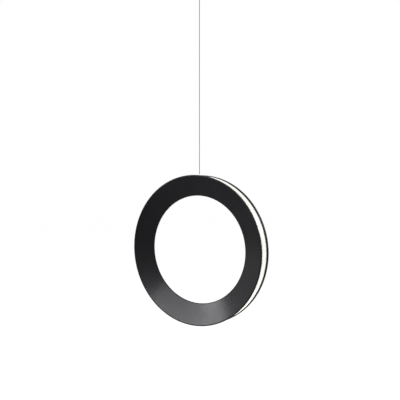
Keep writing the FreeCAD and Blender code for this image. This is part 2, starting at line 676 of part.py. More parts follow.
def make_feed_block(model):
    """Splice block on the hoop, beside the strip, where the wire's conductors arrive."""
    body = new_body(model, "feed_block")
    front = f"({STRIP_MIDDLE} + strip_width / 2 + 0.3)"
    raised(model, body, "block", "XY_Plane",
           lambda sketch: add_outline(sketch, model, rectangle(
               "(-feed_length / 2)", front, "(feed_length / 2)", f"({front} + feed_width)")),
           "feed_height", offset=CARRIER_OUTSIDE)
    round_uprights(model, body, "rounded", "block_round")
    return ring_piece(model, body, "feed_block")


# ---------------------------------------------------------------- leads and the wire

def rounded_path(points):
    """Straight runs joined by tangent arcs, as one wire."""
    points = [FreeCAD.Vector(*point) for point in points]
    runs = [after - before for before, after in zip(points, points[1:])]
    edges = []
    here = points[0]
    for index in range(1, len(points) - 1):
        incoming = FreeCAD.Vector(runs[index - 1]).normalize()
        outgoing = FreeCAD.Vector(runs[index]).normalize()
        half_turn = incoming.getAngle(outgoing) / 2
        setback = 0.45 * min(runs[index - 1].Length, runs[index].Length)
        radius = setback / math.tan(half_turn)
        corner = points[index]
        start = corner - incoming * setback
        end = corner + outgoing * setback
        inward = (outgoing - incoming).normalize()
        middle = corner + inward * (radius / math.cos(half_turn) - radius)
        edges.append(Part.LineSegment(here, start).toShape())
        edges.append(Part.Arc(start, middle, end).toShape())
        here = end
    edges.append(Part.LineSegment(here, points[-1]).toShape())
    return Part.Wire(edges)


def tube_along(points, radius):
    """A round tube along a rounded path."""
    path = rounded_path(points)
    first = FreeCAD.Vector(*points[0])
    direction = FreeCAD.Vector(*points[1]) - first
    section = Part.Wire([Part.Circle(first, direction, radius).toShape()])
    return path.makePipeShell([section], True, False)


def make_leads(model, label, routes, radius="lead_radius"):
    """Insulated leads along routes whose points are formulas."""
    tubes = []
    for route in routes:
        points = [[model.value(part) for part in point] for point in route]
        tubes.append(tube_along(points, model.value(radius)))
    piece = model.doc.addObject("Part::Feature", label)
    piece.Shape = Part.makeCompound(tubes) if len(tubes) > 1 else tubes[0]
    return model.keep(piece, label)


def make_feed_leads(model):
    """The wire's two conductors, from the boss down to the splice block."""
    block_rear = f"({STRIP_MIDDLE} + strip_width / 2 + 0.3 + feed_width - {CABLE_DEPTH})"
    block_middle = f"({CARRIER_OUTSIDE} + feed_height / 2 - {REAR_RADIUS})"
    routes = []
    for side in ("0.7", "(-0.7)"):
        start = f"({RING_TOP} - {CHAMBER_BOTTOM} + cap_thickness / 2)"
        end = f"({RING_TOP} + {block_middle})"
        routes.append([
            (side, "0", start),
            (side, f"({block_rear} * 0.06)", f"({start} * 0.5 + {end} * 0.5)"),
            (f"({side} * 1.6)", f"({block_rear} * 0.28)", end),
            (f"({side} * 1.6)", block_rear, end),
        ])
    return make_leads(model, "feed_leads", routes)


def make_cable(model):
    """The taut wire: one straight run, its upper end rounded where it swings."""
    run = model.doc.addObject("Part::Cylinder", "cable_run")
    run.setExpression("Radius", bound("cable_radius"))
    run.setExpression("Height", bound(f"(cable_free + {SEAT_DEPTH})"))
    model.place(run, z=f"({RING_TOP} - {SEAT_DEPTH})")
    tip = model.doc.addObject("Part::Sphere", "cable_tip")
    tip.setExpression("Radius", bound("cable_radius"))
    model.place(tip, z=MOUTH_Z)
    cable = model.doc.addObject("Part::Fuse", "suspension_cable")
    cable.Base = run
    cable.Tool = tip
    return model.keep(cable, "suspension_cable")


def make_gripper_core(model):
    """The stretch of the wire inside the gripper, flat at both ends."""
    core = model.doc.addObject("Part::Cylinder", "gripper_core")
    end = "(cable_radius + end_gap)"
    core.setExpression("Radius", bound("cable_radius"))
    core.setExpression("Height", bound(f"({BALL_Z} - {MOUTH_Z} - 2 * {end})"))
    return model.keep(core, "gripper_core", z=f"({MOUTH_Z} + {end})")


def make_cable_tail(model):
    """The wire's upper end: from the ball's centre up and over into the coupler."""
    height = "(-plate_thickness - coupler_height / 2)"
    route = [("0", "0", BALL_Z), ("0", "0", height),
             ("(coupler_x + coupler_length / 2)", "0", height)]
    points = [[model.value(part) for part in point] for point in route]
    radius = model.value("cable_radius")
    tube = tube_along(points, radius)
    tip = Part.makeSphere(radius, FreeCAD.Vector(*points[0]))
    piece = model.doc.addObject("Part::Feature", "cable_tail")
    piece.Shape = tube.fuse(tip).removeSplitter()
    return model.keep(piece, "cable_tail")


# ---------------------------------------------------------------- canopy

def make_canopy(model):
    """Spun canopy with a hole for the ball and clearance holes for its side screws."""
    body = new_body(model, "canopy_cover")
    hole = "sqrt((ball_radius + ball_hole_gap) ^ 2 - (ball_rise - canopy_wall) ^ 2)"
    inside = f"({CANOPY_RADIUS} - canopy_wall)"
    floor = "(canopy_wall - canopy_height)"
    turned(model, body, "cup", "XZ_Plane", [
        (inside, "(-canopy_top_gap)"), (CANOPY_RADIUS, "(-canopy_top_gap)"),
        (CANOPY_RADIUS, "(-canopy_height)"), (hole, "(-canopy_height)"),
        (hole, floor), (inside, floor),
    ])
    round_circles(model, body, "rounded_outside", "canopy_round",
                  [(CANOPY_RADIUS, "(-canopy_height)")], "z")
    bore = turned(model, body, "screw_bore", "XZ_Plane",
                  rectangle(f"({inside} - 1)", "(-tab_screw_depth)", f"({CANOPY_RADIUS} + 1)",
                            "(screw_radius + screw_hole_gap - tab_screw_depth)"),
                  ((inside, "(-tab_screw_depth)"), (CANOPY_RADIUS, "(-tab_screw_depth)")),
                  kind="Groove")
    around(body, "screw_bores", [bore], "Z_Axis", "tab_count")
    return model.keep(body, "canopy_cover")


def make_canopy_screws(model):
    """Side screws through the canopy into the plate's tabs."""
    body = new_body(model, "canopy_side_screws")
    corners = [(f"({CANOPY_RADIUS} + screw_seat_gap + {height})", f"({radius} - tab_screw_depth)")
               for radius, height in screw_outline("tab_screw_length")]
    axis = ((PLATE_RADIUS, "(-tab_screw_depth)"), (CANOPY_RADIUS, "(-tab_screw_depth)"))
    screw = turned(model, body, "screw", "XZ_Plane", corners, axis)
    around(body, "screws", [screw], "Z_Axis", "tab_count")
    return model.keep(body, "canopy_side_screws")


def make_plate(model):
    """Steel ceiling plate: folded tabs, two slots, mains entry and earth hole."""
    body = new_body(model, "ceiling_plate")
    disc_radius = f"({PLATE_RADIUS} - plate_thickness / 2)"
    raised(model, body, "disc", "XY_Plane",
           lambda sketch: add_circle(sketch, model, ("0", "0"), disc_radius),
           "plate_thickness", reverse=True)
    tab = raised(model, body, "tab", "XY_Plane",
                 lambda sketch: add_outline(sketch, model, rectangle(
                     f"({PLATE_RADIUS} - plate_thickness)", "(-tab_width / 2)",
                     PLATE_RADIUS, "(tab_width / 2)")),
                 "tab_height", reverse=True)
    bore = turned(model, body, "tab_bore", "XZ_Plane",
                  rectangle(f"({PLATE_RADIUS} - plate_thickness - 1)", "(-tab_screw_depth)",
                            f"({PLATE_RADIUS} + 1)", "(screw_radius - tab_screw_depth)"),
                  ((CANOPY_RADIUS, "(-tab_screw_depth)"), ("0", "(-tab_screw_depth)")),
                  kind="Groove")
    around(body, "tabs", [tab, bore], "Z_Axis", "tab_count")

    def draw_openings(sketch):
        for side in ("slot_spacing / 2", "-slot_spacing / 2"):
            add_slot(sketch, model, (f"({side})", "0"), "slot_length", "slot_radius")
        add_circle(sketch, model, ("entry_x", "entry_y"), "(entry_radius + grommet_wall)")
        add_circle(sketch, model, ("earth_x", "earth_y"), "screw_radius")
        for side in ("(-1)", "1"):
            ear = f"({side} * (driver_length / 2 + driver_cap + driver_ear / 2))"
            add_circle(sketch, model, (ear, DRIVER_Y), "screw_radius")
            foot = f"(clamp_y + {side} * clamp_span / 2)"
            add_circle(sketch, model, ("0", foot), "screw_radius")

    raised(model, body, "openings", "XY_Plane", draw_openings, "(plate_thickness + 1)",
           kind="Pocket")
    return model.keep(body, "ceiling_plate")


def make_grommet(model):
    """Rubber grommet that the building's mains cable comes through."""
    body = new_body(model, "entry_grommet")
    outside = "(entry_radius + grommet_wall)"
    flange = f"({outside} + grommet_flange)"
    turned(model, body, "grommet", "XZ_Plane", [
        ("entry_radius", "0"), (outside, "0"), (outside, PLATE_UNDER), (flange, PLATE_UNDER),
        (flange, f"({PLATE_UNDER} - grommet_lip)"),
        ("entry_radius", f"({PLATE_UNDER} - grommet_lip)"),
    ])
    return model.keep(body, "entry_grommet", x="entry_x", y="entry_y")


# ---------------------------------------------------------------- on the ceiling plate

def make_driver(model):
    """Driver case: a flat box, rounded, seated under the plate."""
    body = new_body(model, "driver_case")
    raised(model, body, "case", "XY_Plane",
           lambda sketch: add_outline(sketch, model, rectangle(
               "(-driver_length / 2)", "(-driver_width / 2)",
               "(driver_length / 2)", "(driver_width / 2)")),
           "driver_height", reverse=True)
    round_uprights(model, body, "rounded", "driver_round", axis="x")
    return model.keep(body, "driver_case", y=DRIVER_Y, z=PLATE_UNDER)


def make_driver_caps(model):
    """End caps of the driver, each with a screwed foot against the plate."""
    body = new_body(model, "driver_end_caps")
    inner = "(driver_length / 2)"
    outer = f"({inner} + driver_cap)"
    cap = raised(model, body, "cap", "XY_Plane",
                 lambda sketch: add_outline(sketch, model, rectangle(
                     inner, "(-driver_width / 2)", outer, "(driver_width / 2)")),
                 "driver_height", reverse=True)
    foot = raised(model, body, "foot", "XY_Plane",
                  lambda sketch: add_outline(sketch, model, rectangle(
                      outer, "(-driver_ear_width / 2)",
                      f"({outer} + driver_ear)", "(driver_ear_width / 2)")),
                  "driver_ear_height", reverse=True)
    bore = raised(model, body, "bore", "XY_Plane",
                  lambda sketch: add_circle(sketch, model,
                                            (f"({outer} + driver_ear / 2)", "0"),
                                            "(screw_radius + screw_hole_gap)"),
                  "(driver_ear_height + 1)", kind="Pocket")
    around(body, "both_ends", [cap, foot, bore], "Z_Axis", "2")
    return model.keep(body, "driver_end_caps", y=DRIVER_Y, z=PLATE_UNDER)


def make_plate_screw(model, label, places):
    """Screws driven up into the plate, each with its head under what it holds."""
    names = []
    for index, (x, y, z) in enumerate(places):
        shank = model.doc.addObject("Part::Cylinder", f"{label}_shank_{index}")
        shank.setExpression("Radius", bound("screw_radius"))
        shank.setExpression("Height", bound(f"(-{z})"))
        model.place(shank, x, y, z)
        head = model.doc.addObject("Part::Cone", f"{label}_head_{index}")
        head.setExpression("Radius1", bound("(screw_head_radius * 0.7)"))
        head.setExpression("Radius2", bound("screw_head_radius"))
        head.setExpression("Height", bound("screw_head_height"))
        model.place(head, x, y, f"({z} - screw_head_height)")
        screw = model.doc.addObject("Part::Fuse", f"{label}_{index}")
        screw.Base = shank
        screw.Tool = head
        names.append(screw)
    group = names[0]
    if len(names) > 1:
        group = model.doc.addObject("Part::Compound", label)
        group.Links = names
    return model.keep(group, label)


def make_driver_screws(model):
    """Two screws through the feet of the end caps."""
    reach = "(driver_length / 2 + driver_cap + driver_ear / 2)"
    height = f"({PLATE_UNDER} - driver_ear_height)"
    places = [(f"({side} * {reach})", DRIVER_Y, height) for side in ("(-1)", "1")]
    return make_plate_screw(model, "driver_screws", places)


def make_clamp_screws(model):
    """Two screws through the feet of the strain clamp."""
    height = f"({PLATE_UNDER} - clamp_strap)"
    places = [("0", f"(clamp_y + {side} * clamp_span / 2)", height) for side in ("(-1)", "1")]
    return make_plate_screw(model, "strain_clamp_screws", places)


def make_earth_screw(model):
    """Earth screw, driven straight into the plate."""
    return make_plate_screw(model, "earth_screw", [("earth_x", "earth_y", PLATE_UNDER)])


def make_clamp(model):
    """Strain clamp: a strap arched over the mains cable, a foot on each side."""
    strap = model.doc.addObject("Part::Cylinder", "clamp_outside")
    strap.setExpression("Radius", bound("(clamp_arch + clamp_strap)"))
    strap.setExpression("Height", bound("clamp_width"))
    feet = model.doc.addObject("Part::Box", "clamp_feet")
    feet.setExpression("Length", bound("clamp_width"))
    feet.setExpression("Width", bound("(clamp_span + clamp_foot)"))
    feet.setExpression("Height", bound("clamp_strap"))
    model.place(feet, "(-clamp_width / 2)", "(-(clamp_span + clamp_foot) / 2)", "(-clamp_strap)")
    upright = FreeCAD.Rotation(FreeCAD.Vector(0, 1, 0), 90)
    strap.Placement = FreeCAD.Placement(FreeCAD.Vector(), upright)
    model.place(strap, "(-clamp_width / 2)")
    whole = model.doc.addObject("Part::Fuse", "clamp_whole")
    whole.Base = strap
    whole.Tool = feet
    arch = model.doc.addObject("Part::Cylinder", "clamp_arch_bore")
    arch.setExpression("Radius", bound("clamp_arch"))
    arch.setExpression("Height", bound("(clamp_width + 2)"))
    arch.Placement = FreeCAD.Placement(FreeCAD.Vector(), upright)
    model.place(arch, "(-clamp_width / 2 - 1)")
    above = model.doc.addObject("Part::Box", "clamp_above")
    above.setExpression("Length", bound("(clamp_width + 2)"))
    above.setExpression("Width", bound("(2 * (clamp_arch + clamp_strap) + 2)"))
    above.setExpression("Height", bound("(clamp_arch + clamp_strap + 1)"))
    model.place(above, "(-clamp_width / 2 - 1)", "(-clamp_arch - clamp_strap - 1)", "0")
    tools = [arch, above]
    for index, side in enumerate(("(-1)", "1")):
        bore = model.doc.addObject("Part::Cylinder", f"clamp_bore_{index}")
        bore.setExpression("Radius", bound("(screw_radius + screw_hole_gap)"))
        bore.setExpression("Height", bound("(clamp_strap + 2)"))
        model.place(bore, "0", f"({side} * clamp_span / 2)", "(-clamp_strap - 1)")
        tools.append(bore)
    cutter = model.doc.addObject("Part::MultiFuse", "clamp_cutter")
    cutter.Shapes = tools
    clamp = model.doc.addObject("Part::Cut", "strain_clamp")
    clamp.Base = whole
    clamp.Tool = cutter
    return model.keep(clamp, "strain_clamp", y="clamp_y", z=PLATE_UNDER)


def make_terminal_block(model):
    """Three-way mains terminal block, with a wire entry on both sides of each way."""
    body = new_body(model, "terminal_block")
    half = "(terminal_pitch * 3 / 2)"
    raised(model, body, "block", "XY_Plane",
           lambda sketch: add_outline(sketch, model, rectangle(
               f"(-{half})", "(-terminal_depth / 2)", half, "(terminal_depth / 2)")),
           "terminal_height", reverse=True)
    entry = raised(model, body, "entry", "XZ_Plane",
                   lambda sketch: add_circle(sketch, model,
                                             ("(-terminal_pitch)", "(-terminal_height / 2)"),
                                             "terminal_bore"),
                   "(terminal_depth + 2)", kind="Pocket", midplane=True)
    well = raised(model, body, "well", "XY_Plane",
                  lambda sketch: add_circle(sketch, model, ("(-terminal_pitch)", "0"),
                                            "terminal_screw_radius"),
                  "terminal_screw_length", offset="(-terminal_height)", kind="Pocket",
                  reverse=True)
    in_a_row(body, "ways", [entry, well], "X_Axis", "(2 * terminal_pitch)", "3")
    return model.keep(body, "terminal_block", x="terminal_x", y="terminal_y", z=PLATE_UNDER)


def make_terminal_screws(model):
    """The terminal block's screws, sunk in their wells."""
    body = new_body(model, "terminal_screws")
    screw = raised(model, body, "screw", "XY_Plane",
                   lambda sketch: add_circle(sketch, model, ("(-terminal_pitch)", "0"),
                                             "(terminal_screw_radius - 0.1)"),
                   "(terminal_screw_length - 1)",
                   offset="(terminal_screw_length - terminal_height)", reverse=True)
    in_a_row(body, "screws", [screw], "X_Axis", "(2 * terminal_pitch)", "3")
    return model.keep(body, "terminal_screws", x="terminal_x", y="terminal_y", z=PLATE_UNDER)


def make_coupler(model):
    """Splice block that joins the wire's upper end to the driver's output."""
    body = new_body(model, "cable_coupler")
    raised(model, body, "block", "XY_Plane",
           lambda sketch: add_outline(sketch, model, rectangle(
               "(-coupler_length / 2)", "(-coupler_width / 2)",
               "(coupler_length / 2)", "(coupler_width / 2)")),
           "coupler_height", reverse=True)
    round_uprights(model, body, "rounded", "block_round")
    return model.keep(body, "cable_coupler", x="coupler_x", z=PLATE_UNDER)


def make_input_leads(model):
    """Two leads from the terminal block to the driver."""
    start_y = "(terminal_y + terminal_depth / 2)"
    end_y = f"({DRIVER_Y} - driver_width / 2)"
    height = "(-plate_thickness - terminal_height / 2)"
    routes = []
    for way in ("(-1)", "0"):
        across = f"(terminal_x + {way} * terminal_pitch)"
        routes.append([(across, start_y, height), (across, end_y, height)])
    return make_leads(model, "input_leads", routes)


def make_output_leads(model):
    """Two short leads from the driver to the coupler."""
    height = "(-plate_thickness - coupler_height / 2)"
    start_y = "(coupler_width / 2)"
    end_y = f"({DRIVER_Y} - driver_width / 2)"
    routes = []
    for side in ("(-1)", "1"):
        across = f"(coupler_x + {side} * output_spacing / 2)"
        routes.append([(across, start_y, height), (across, end_y, height)])
    return make_leads(model, "output_leads", routes)


# ---------------------------------------------------------------- ball and gripper

def cylinder(model, name, radius, height, z, x="0", y="0"):
    piece = model.doc.addObject("Part::Cylinder", name)
    piece.setExpression("Radius", bound(radius))
    piece.setExpression("Height", bound(height))
    return model.place(piece, x, y, z)


def sphere(model, name, radius, z="0", x="0", y="0"):
    piece = model.doc.addObject("Part::Sphere", name)
    piece.setExpression("Radius", bound(radius))
    return model.place(piece, x, y, z)


def cut(model, name, base, *tools):
    cutter = tools[0]
    if len(tools) > 1:
        cutter = model.doc.addObject("Part::MultiFuse", name + "_cutter")
        cutter.Shapes = list(tools)
    piece = model.doc.addObject("Part::Cut", name)
    piece.Base = base
    piece.Tool = cutter
    return piece


def make_ball(model):
    """Swivel ball: neck bore below its centre, funnel above, so that it clears the wire."""
    ball = sphere(model, "ball_round", "ball_radius")
    bore = cylinder(model, "ball_bore", "neck_radius", "(ball_radius - neck_end)",
                    "(-ball_radius)")
    throat = cylinder(model, "ball_throat", "flare_throat", "(2 * neck_end)", "(-neck_end)")
    funnel = model.doc.addObject("Part::Cone", "ball_funnel")
    funnel.setExpression("Radius1", bound("flare_throat"))
    funnel.setExpression("Radius2", bound("(flare_throat + ball_radius * tan(flare_angle))"))
    funnel.setExpression("Height", bound("ball_radius"))
    model.place(funnel)
    piece = cut(model, "swivel_ball", ball, bore, throat, funnel)
    return model.keep(piece, "swivel_ball", z=BALL_Z)


def make_ball_seat(model):
    """Plastic seat that carries the ball on the canopy's floor."""
    floor = "(canopy_wall - ball_rise)"
    outside = cylinder(model, "seat_outside", "seat_radius", "seat_height", floor)
    hollow = sphere(model, "seat_hollow", "(ball_radius + ball_gap)")
    way_in = cylinder(model, "seat_way_in", "(ball_radius + ball_gap)", "seat_height", "0")
    piece = cut(model, "ball_seat", outside, hollow, way_in)
    return model.keep(piece, "ball_seat", z=BALL_Z)


def make_barrel(model):
    """Gripper barrel: threaded neck, spring chamber, gripping cone and plunger bore."""
    body = new_body(model, "gripper_barrel")
    neck_top = "(barrel_drop - neck_end)"
    turned(model, body, "barrel", "XZ_Plane", [
        ("guide_radius", neck_top), ("neck_radius", neck_top), ("neck_radius", "0"),
        ("(barrel_radius - barrel_chamfer)", "0"), ("barrel_radius", "(-barrel_chamfer)"),
        ("barrel_radius", "(barrel_chamfer - barrel_length)"),
        ("(barrel_radius - barrel_chamfer)", "(-barrel_length)"),
        (MOUTH_BORE, "(-barrel_length)"), (MOUTH_BORE, f"(-{CHAMBER_END} - cone_length)"),
        ("chamber_radius", f"(-{CHAMBER_END})"), ("chamber_radius", "(-barrel_roof)"),
        ("guide_radius", "(-barrel_roof)"),
    ])
    return model.keep(body, "gripper_barrel", z=BARREL_TOP)


def make_plunger(model):
    """Plunger with a finger flange below and a rim above that lifts the gripping balls."""
    body = new_body(model, "gripper_plunger")
    top = f"(barrel_length - {GRIP_DEPTH} - grip_ball_radius - grip_gap)"
    turned(model, body, "plunger", "XZ_Plane", [
        ("guide_radius", "(-nose_length)"), ("(nose_radius - 0.4)", "(-nose_length)"),
        ("nose_radius", "(0.4 - nose_length)"), ("nose_radius", "(nose_flange - nose_length)"),
        ("plunger_radius", "(nose_flange - nose_length)"), ("plunger_radius", top),
        ("guide_radius", top),
    ])
    return model.keep(body, "gripper_plunger", z=BARREL_END)


def make_grip_balls(model):
    """Steel balls that wedge between the wire and the barrel's cone."""
    balls = []
    count = int(model.value("grip_ball_count"))
    for index in range(count):
        turn = f"(360 / grip_ball_count * {index})"
        balls.append(sphere(model, f"grip_ball_{index}", "grip_ball_radius", z="0",
                            x=f"({GRIP_CIRCLE} * cos({turn}))",
                            y=f"({GRIP_CIRCLE} * sin({turn}))"))
    group = model.doc.addObject("Part::Compound", "gripper_balls")
    group.Links = balls
    return model.keep(group, "gripper_balls", z=f"({BARREL_TOP} - {GRIP_DEPTH})")


def make_spring(model):
    """Compression spring above the balls, as the sleeve that its coils fill."""
    body = new_body(model, "gripper_spring")
    low = f"(grip_ball_radius + grip_gap - {GRIP_DEPTH})"
    turned(model, body, "sleeve", "XZ_Plane",
           rectangle("(spring_radius - spring_wire)", low,
                     "(spring_radius + spring_wire)", "(-barrel_roof)"))
    return model.keep(body, "gripper_spring", z=BARREL_TOP)


# ---------------------------------------------------------------- build, test and write

def check(model):
    """Stop if any object failed or any sub-part isn't a sound solid."""
    for item in model.doc.Objects:
        if "Invalid" in item.State or "Error" in item.State:
            raise SystemExit(f"{item.Label} failed: {item.State}")
    for piece in model.sub_parts:
        shape = piece.Shape
        if shape.isNull() or not shape.isValid() or not shape.Solids:
            raise SystemExit(f"{piece.Label} isn't a sound solid")
        print(f"{piece.Label:22s} solids {len(shape.Solids):4d}  volume {shape.Volume:12.2f}")


def main():
    model = Model()
    makers = [
        make_front_shell, make_rear_shell, make_diffuser, make_carrier, make_strip, make_chips,
        make_blocks, make_shell_screws, make_hoop_screws, make_ferrule, make_bush, make_boss,
        make_boss_cap, make_feed_block, make_feed_leads, make_cable, make_gripper_core,
        make_cable_tail, make_canopy, make_canopy_screws, make_plate, make_grommet,
        make_driver, make_driver_caps, make_driver_screws, make_clamp, make_clamp_screws,
        make_earth_screw, make_terminal_block, make_terminal_screws, make_coupler,
        make_input_leads, make_output_leads, make_ball, make_ball_seat, make_barrel,
        make_plunger, make_grip_balls, make_spring,
    ]
    for make in makers:
        make(model)
    model.doc.recompute()
    check(model)
    os.makedirs("parts", exist_ok=True)
    for piece in model.sub_parts:
        piece.Shape.exportStep(f"parts/{piece.Label}.step")


main()
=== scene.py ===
"""Looks of the LED ring pendant: one upright black ring with a luminous rim, on a thin wire."""

import math

import bmesh
import bpy
from mathutils import Matrix, Vector


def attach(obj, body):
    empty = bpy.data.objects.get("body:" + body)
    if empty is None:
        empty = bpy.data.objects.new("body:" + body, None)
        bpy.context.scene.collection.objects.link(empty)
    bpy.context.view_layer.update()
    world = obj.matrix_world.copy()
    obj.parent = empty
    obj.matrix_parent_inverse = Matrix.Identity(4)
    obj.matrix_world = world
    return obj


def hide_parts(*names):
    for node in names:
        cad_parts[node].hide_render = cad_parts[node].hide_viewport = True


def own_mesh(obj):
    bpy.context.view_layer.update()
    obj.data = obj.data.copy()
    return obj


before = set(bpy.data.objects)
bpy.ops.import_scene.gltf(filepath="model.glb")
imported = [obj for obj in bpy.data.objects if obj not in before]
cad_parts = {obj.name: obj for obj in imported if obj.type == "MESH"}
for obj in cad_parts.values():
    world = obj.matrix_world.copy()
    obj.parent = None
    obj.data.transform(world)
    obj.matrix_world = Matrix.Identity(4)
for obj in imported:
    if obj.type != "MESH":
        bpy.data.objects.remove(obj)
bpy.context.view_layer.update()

# The viewpoint: level, to the right of the ring and a little above its middle, so that the
# dished face, the thin front lip and the lit rim all show.


def linked(name, data):
    """A new object with this data, in the scene."""
    made = bpy.data.objects.new(name, data)
    bpy.context.scene.collection.objects.link(made)
    return made


eye = bpy.data.cameras.new("viewpoint")
eye.lens = 39.89
eye.sensor_width = 36
eye.clip_start = 0.05
eye.clip_end = 100
viewpoint = linked("viewpoint", eye)
viewpoint.location = (0.6398, -1.0252, -0.6294)
viewpoint.rotation_euler = (math.radians(90), 0, math.radians(31.9))
bpy.context.scene.camera = viewpoint


# The suspension wire: two fine stranded conductors in a dark grey jacket, which carry the ring
# and its low-voltage supply. It is pulled tight between the gripper and the ring.
WIRE_DIAMETER = 0.0016
WIRE_TOP = -0.062
WIRE_FOOT = -0.5645


def add_node(tree, kind, inputs=None, **options):
    """Add a node, set its options, and fill or link its inputs."""
    node = tree.nodes.new(kind)
    for name, value in options.items():
        setattr(node, name, value)
    for key, value in (inputs or {}).items():
        if isinstance(value, bpy.types.NodeSocket):
            tree.links.new(value, node.inputs[key])
        else:
            node.inputs[key].default_value = value
    return node


def maths(tree, operation, first, second=0.5, third=0.5):
    """The result of a Math node."""
    node = add_node(tree, "ShaderNodeMath", {0: first, 1: second, 2: third}, operation=operation)
    return node.outputs[0]


def blended(tree, share, first, second):
    """The result of a Mix node on two colours, which are its inputs 6 and 7."""
    node = add_node(tree, "ShaderNodeMix", {"Factor": share, 6: first, 7: second},
                    data_type="RGBA")
    return node.outputs[2]


def ranged(tree, value, low, high, new_low, new_high, smooth=False):
    """The result of a Map Range node."""
    node = add_node(tree, "ShaderNodeMapRange", {
        "Value": value, "From Min": low, "From Max": high, "To Min": new_low, "To Max": new_high,
    }, interpolation_type="SMOOTHSTEP" if smooth else "LINEAR")
    return node.outputs["Result"]


def new_group(name, inputs, outputs):
    """An empty shader node group with named inputs and outputs."""
    group = bpy.data.node_groups.new(name, "ShaderNodeTree")
    for label, kind, value in inputs:
        socket = group.interface.new_socket(label, in_out="INPUT", socket_type="NodeSocket" + kind)
        if value is not None:
            socket.default_value = value
    for label, kind in outputs:
        group.interface.new_socket(label, in_out="OUTPUT", socket_type="NodeSocket" + kind)
    return group, group.nodes.new("NodeGroupInput"), group.nodes.new("NodeGroupOutput")


def emptied(owner):
    """The node tree of a material or a world, with its first nodes taken out."""
    owner.use_nodes = True
    owner.node_tree.nodes.clear()
    return owner.node_tree


def new_material(name, constants):
    """A material with one Principled shader whose plain constants are set on its sockets."""
    material = bpy.data.materials.new(name)
    tree = emptied(material)
    shader = add_node(tree, "ShaderNodeBsdfPrincipled", constants)
    output = add_node(tree, "ShaderNodeOutputMaterial")
    tree.links.new(shader.outputs["BSDF"], output.inputs["Surface"])
    return material, tree, shader


def bumped(tree, shader, height, strength, distance):
    """Feed a height through a Bump node to the shader."""
    bump = add_node(tree, "ShaderNodeBump",
                    {"Height": height, "Strength": strength, "Distance": distance})
    tree.links.new(bump.outputs["Normal"], shader.inputs["Normal"])


def tube_line(name, kind, places, radius, rounding):
    """A round tube along a curve, with closed ends."""
    line = bpy.data.curves.new(name, "CURVE")
    line.dimensions = "3D"
    line.bevel_depth = radius
    line.bevel_resolution = rounding
    line.use_fill_caps = True
    spline = line.splines.new(kind)
    spline.points.add(len(places) - 1)
    for control, place in zip(spline.points, places):
        control.co = (*place, 1)
    return linked(name, line)


wire_finish, tree, shader = new_material("wire_jacket", {
    "Roughness": 0.45, "Specular IOR Level": 0.03})
wire_map = add_node(tree, "ShaderNodeTexCoord")
lay = add_node(tree, "ShaderNodeMapping", {"Vector": wire_map.outputs["UV"],
                                           "Scale": (900, 4, 1)})
strands = add_node(tree, "ShaderNodeTexWave", {"Vector": lay.outputs["Vector"], "Scale": 0.5,
                                               "Distortion": 0.4},
                   wave_type="BANDS", bands_direction="DIAGONAL")
tree.links.new(blended(tree, strands.outputs["Fac"], (0.016, 0.016, 0.017, 1),
                       (0.028, 0.028, 0.029, 1)), shader.inputs["Base Color"])
bumped(tree, shader, strands.outputs["Fac"], 0.15, 0.00005)

route = [(0, 0, WIRE_TOP), (0, 0, -0.22), (0, 0, -0.40), (0, 0, WIRE_FOOT)]
wire = tube_line("suspension_wire", "NURBS", route, WIRE_DIAMETER / 2, rounding=6)
wire.data.splines[0].order_u = 3
wire.data.splines[0].use_endpoint_u = True
wire.data.materials.append(wire_finish)
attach(wire, "wire")
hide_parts("suspension_cable")


# The front shell: one spun aluminium cone, its rim turned back into a thin lip and its inner
# edge into a hem round the hole. It is powder coated matt black with a fine orange-peel grain.
RING_RADIUS = 0.200
RING_CENTRE = -0.7626
FRONT_RIM = -0.037
HOLE_RADIUS = 0.145
CONE_START = 0.1972
HOLE_DEPTH = 0.0234
LIP_DEPTH = 0.004
SKIN = 0.0012
SHELL_WALL = 0.0015
SEAM_GAP = 0.0003
HEM_CLEARANCE = 0.0001
LIP_INSIDE = RING_RADIUS - SHELL_WALL
HEM_OUTSIDE = HOLE_RADIUS + SHELL_WALL
SEAM_RADIUS = HEM_OUTSIDE + HEM_CLEARANCE
FRONT_SLOPE = HOLE_DEPTH / (CONE_START - HEM_OUTSIDE)
RING_MIDDLE = (0, FRONT_RIM, RING_CENTRE)
RING_SIDES = 320


def grain_group():
    """Fine orange-peel grain: a height, a speck mask and a slow cloudiness."""
    group, given, result = new_group("coat_grain", [
        ("Vector", "Vector", None), ("Grain Size", "Float", 900.0), ("Cloud Size", "Float", 9.0),
    ], [("Height", "Float"), ("Specks", "Float"), ("Clouds", "Float")])
    fine = add_node(group, "ShaderNodeTexNoise", {
        "Vector": given.outputs["Vector"], "Scale": given.outputs["Grain Size"],
        "Detail": 3.0, "Roughness": 0.55})
    pores = add_node(group, "ShaderNodeTexVoronoi", {
        "Vector": given.outputs["Vector"], "Scale": given.outputs["Grain Size"],
        "Randomness": 1.0}, feature="SMOOTH_F1")
    slow = add_node(group, "ShaderNodeTexNoise", {
        "Vector": given.outputs["Vector"], "Scale": given.outputs["Cloud Size"],
        "Detail": 4.0, "Roughness": 0.6})
    height = maths(group, "MULTIPLY_ADD", pores.outputs["Distance"], -0.6,
                   fine.outputs["Fac"])
    group.links.new(height, result.inputs["Height"])
    group.links.new(ranged(group, fine.outputs["Fac"], 0.58, 0.72, 0.0, 1.0),
                    result.inputs["Specks"])
    group.links.new(ranged(group, slow.outputs["Fac"], 0.3, 0.7, 0.0, 1.0, smooth=True),
                    result.inputs["Clouds"])
    return group


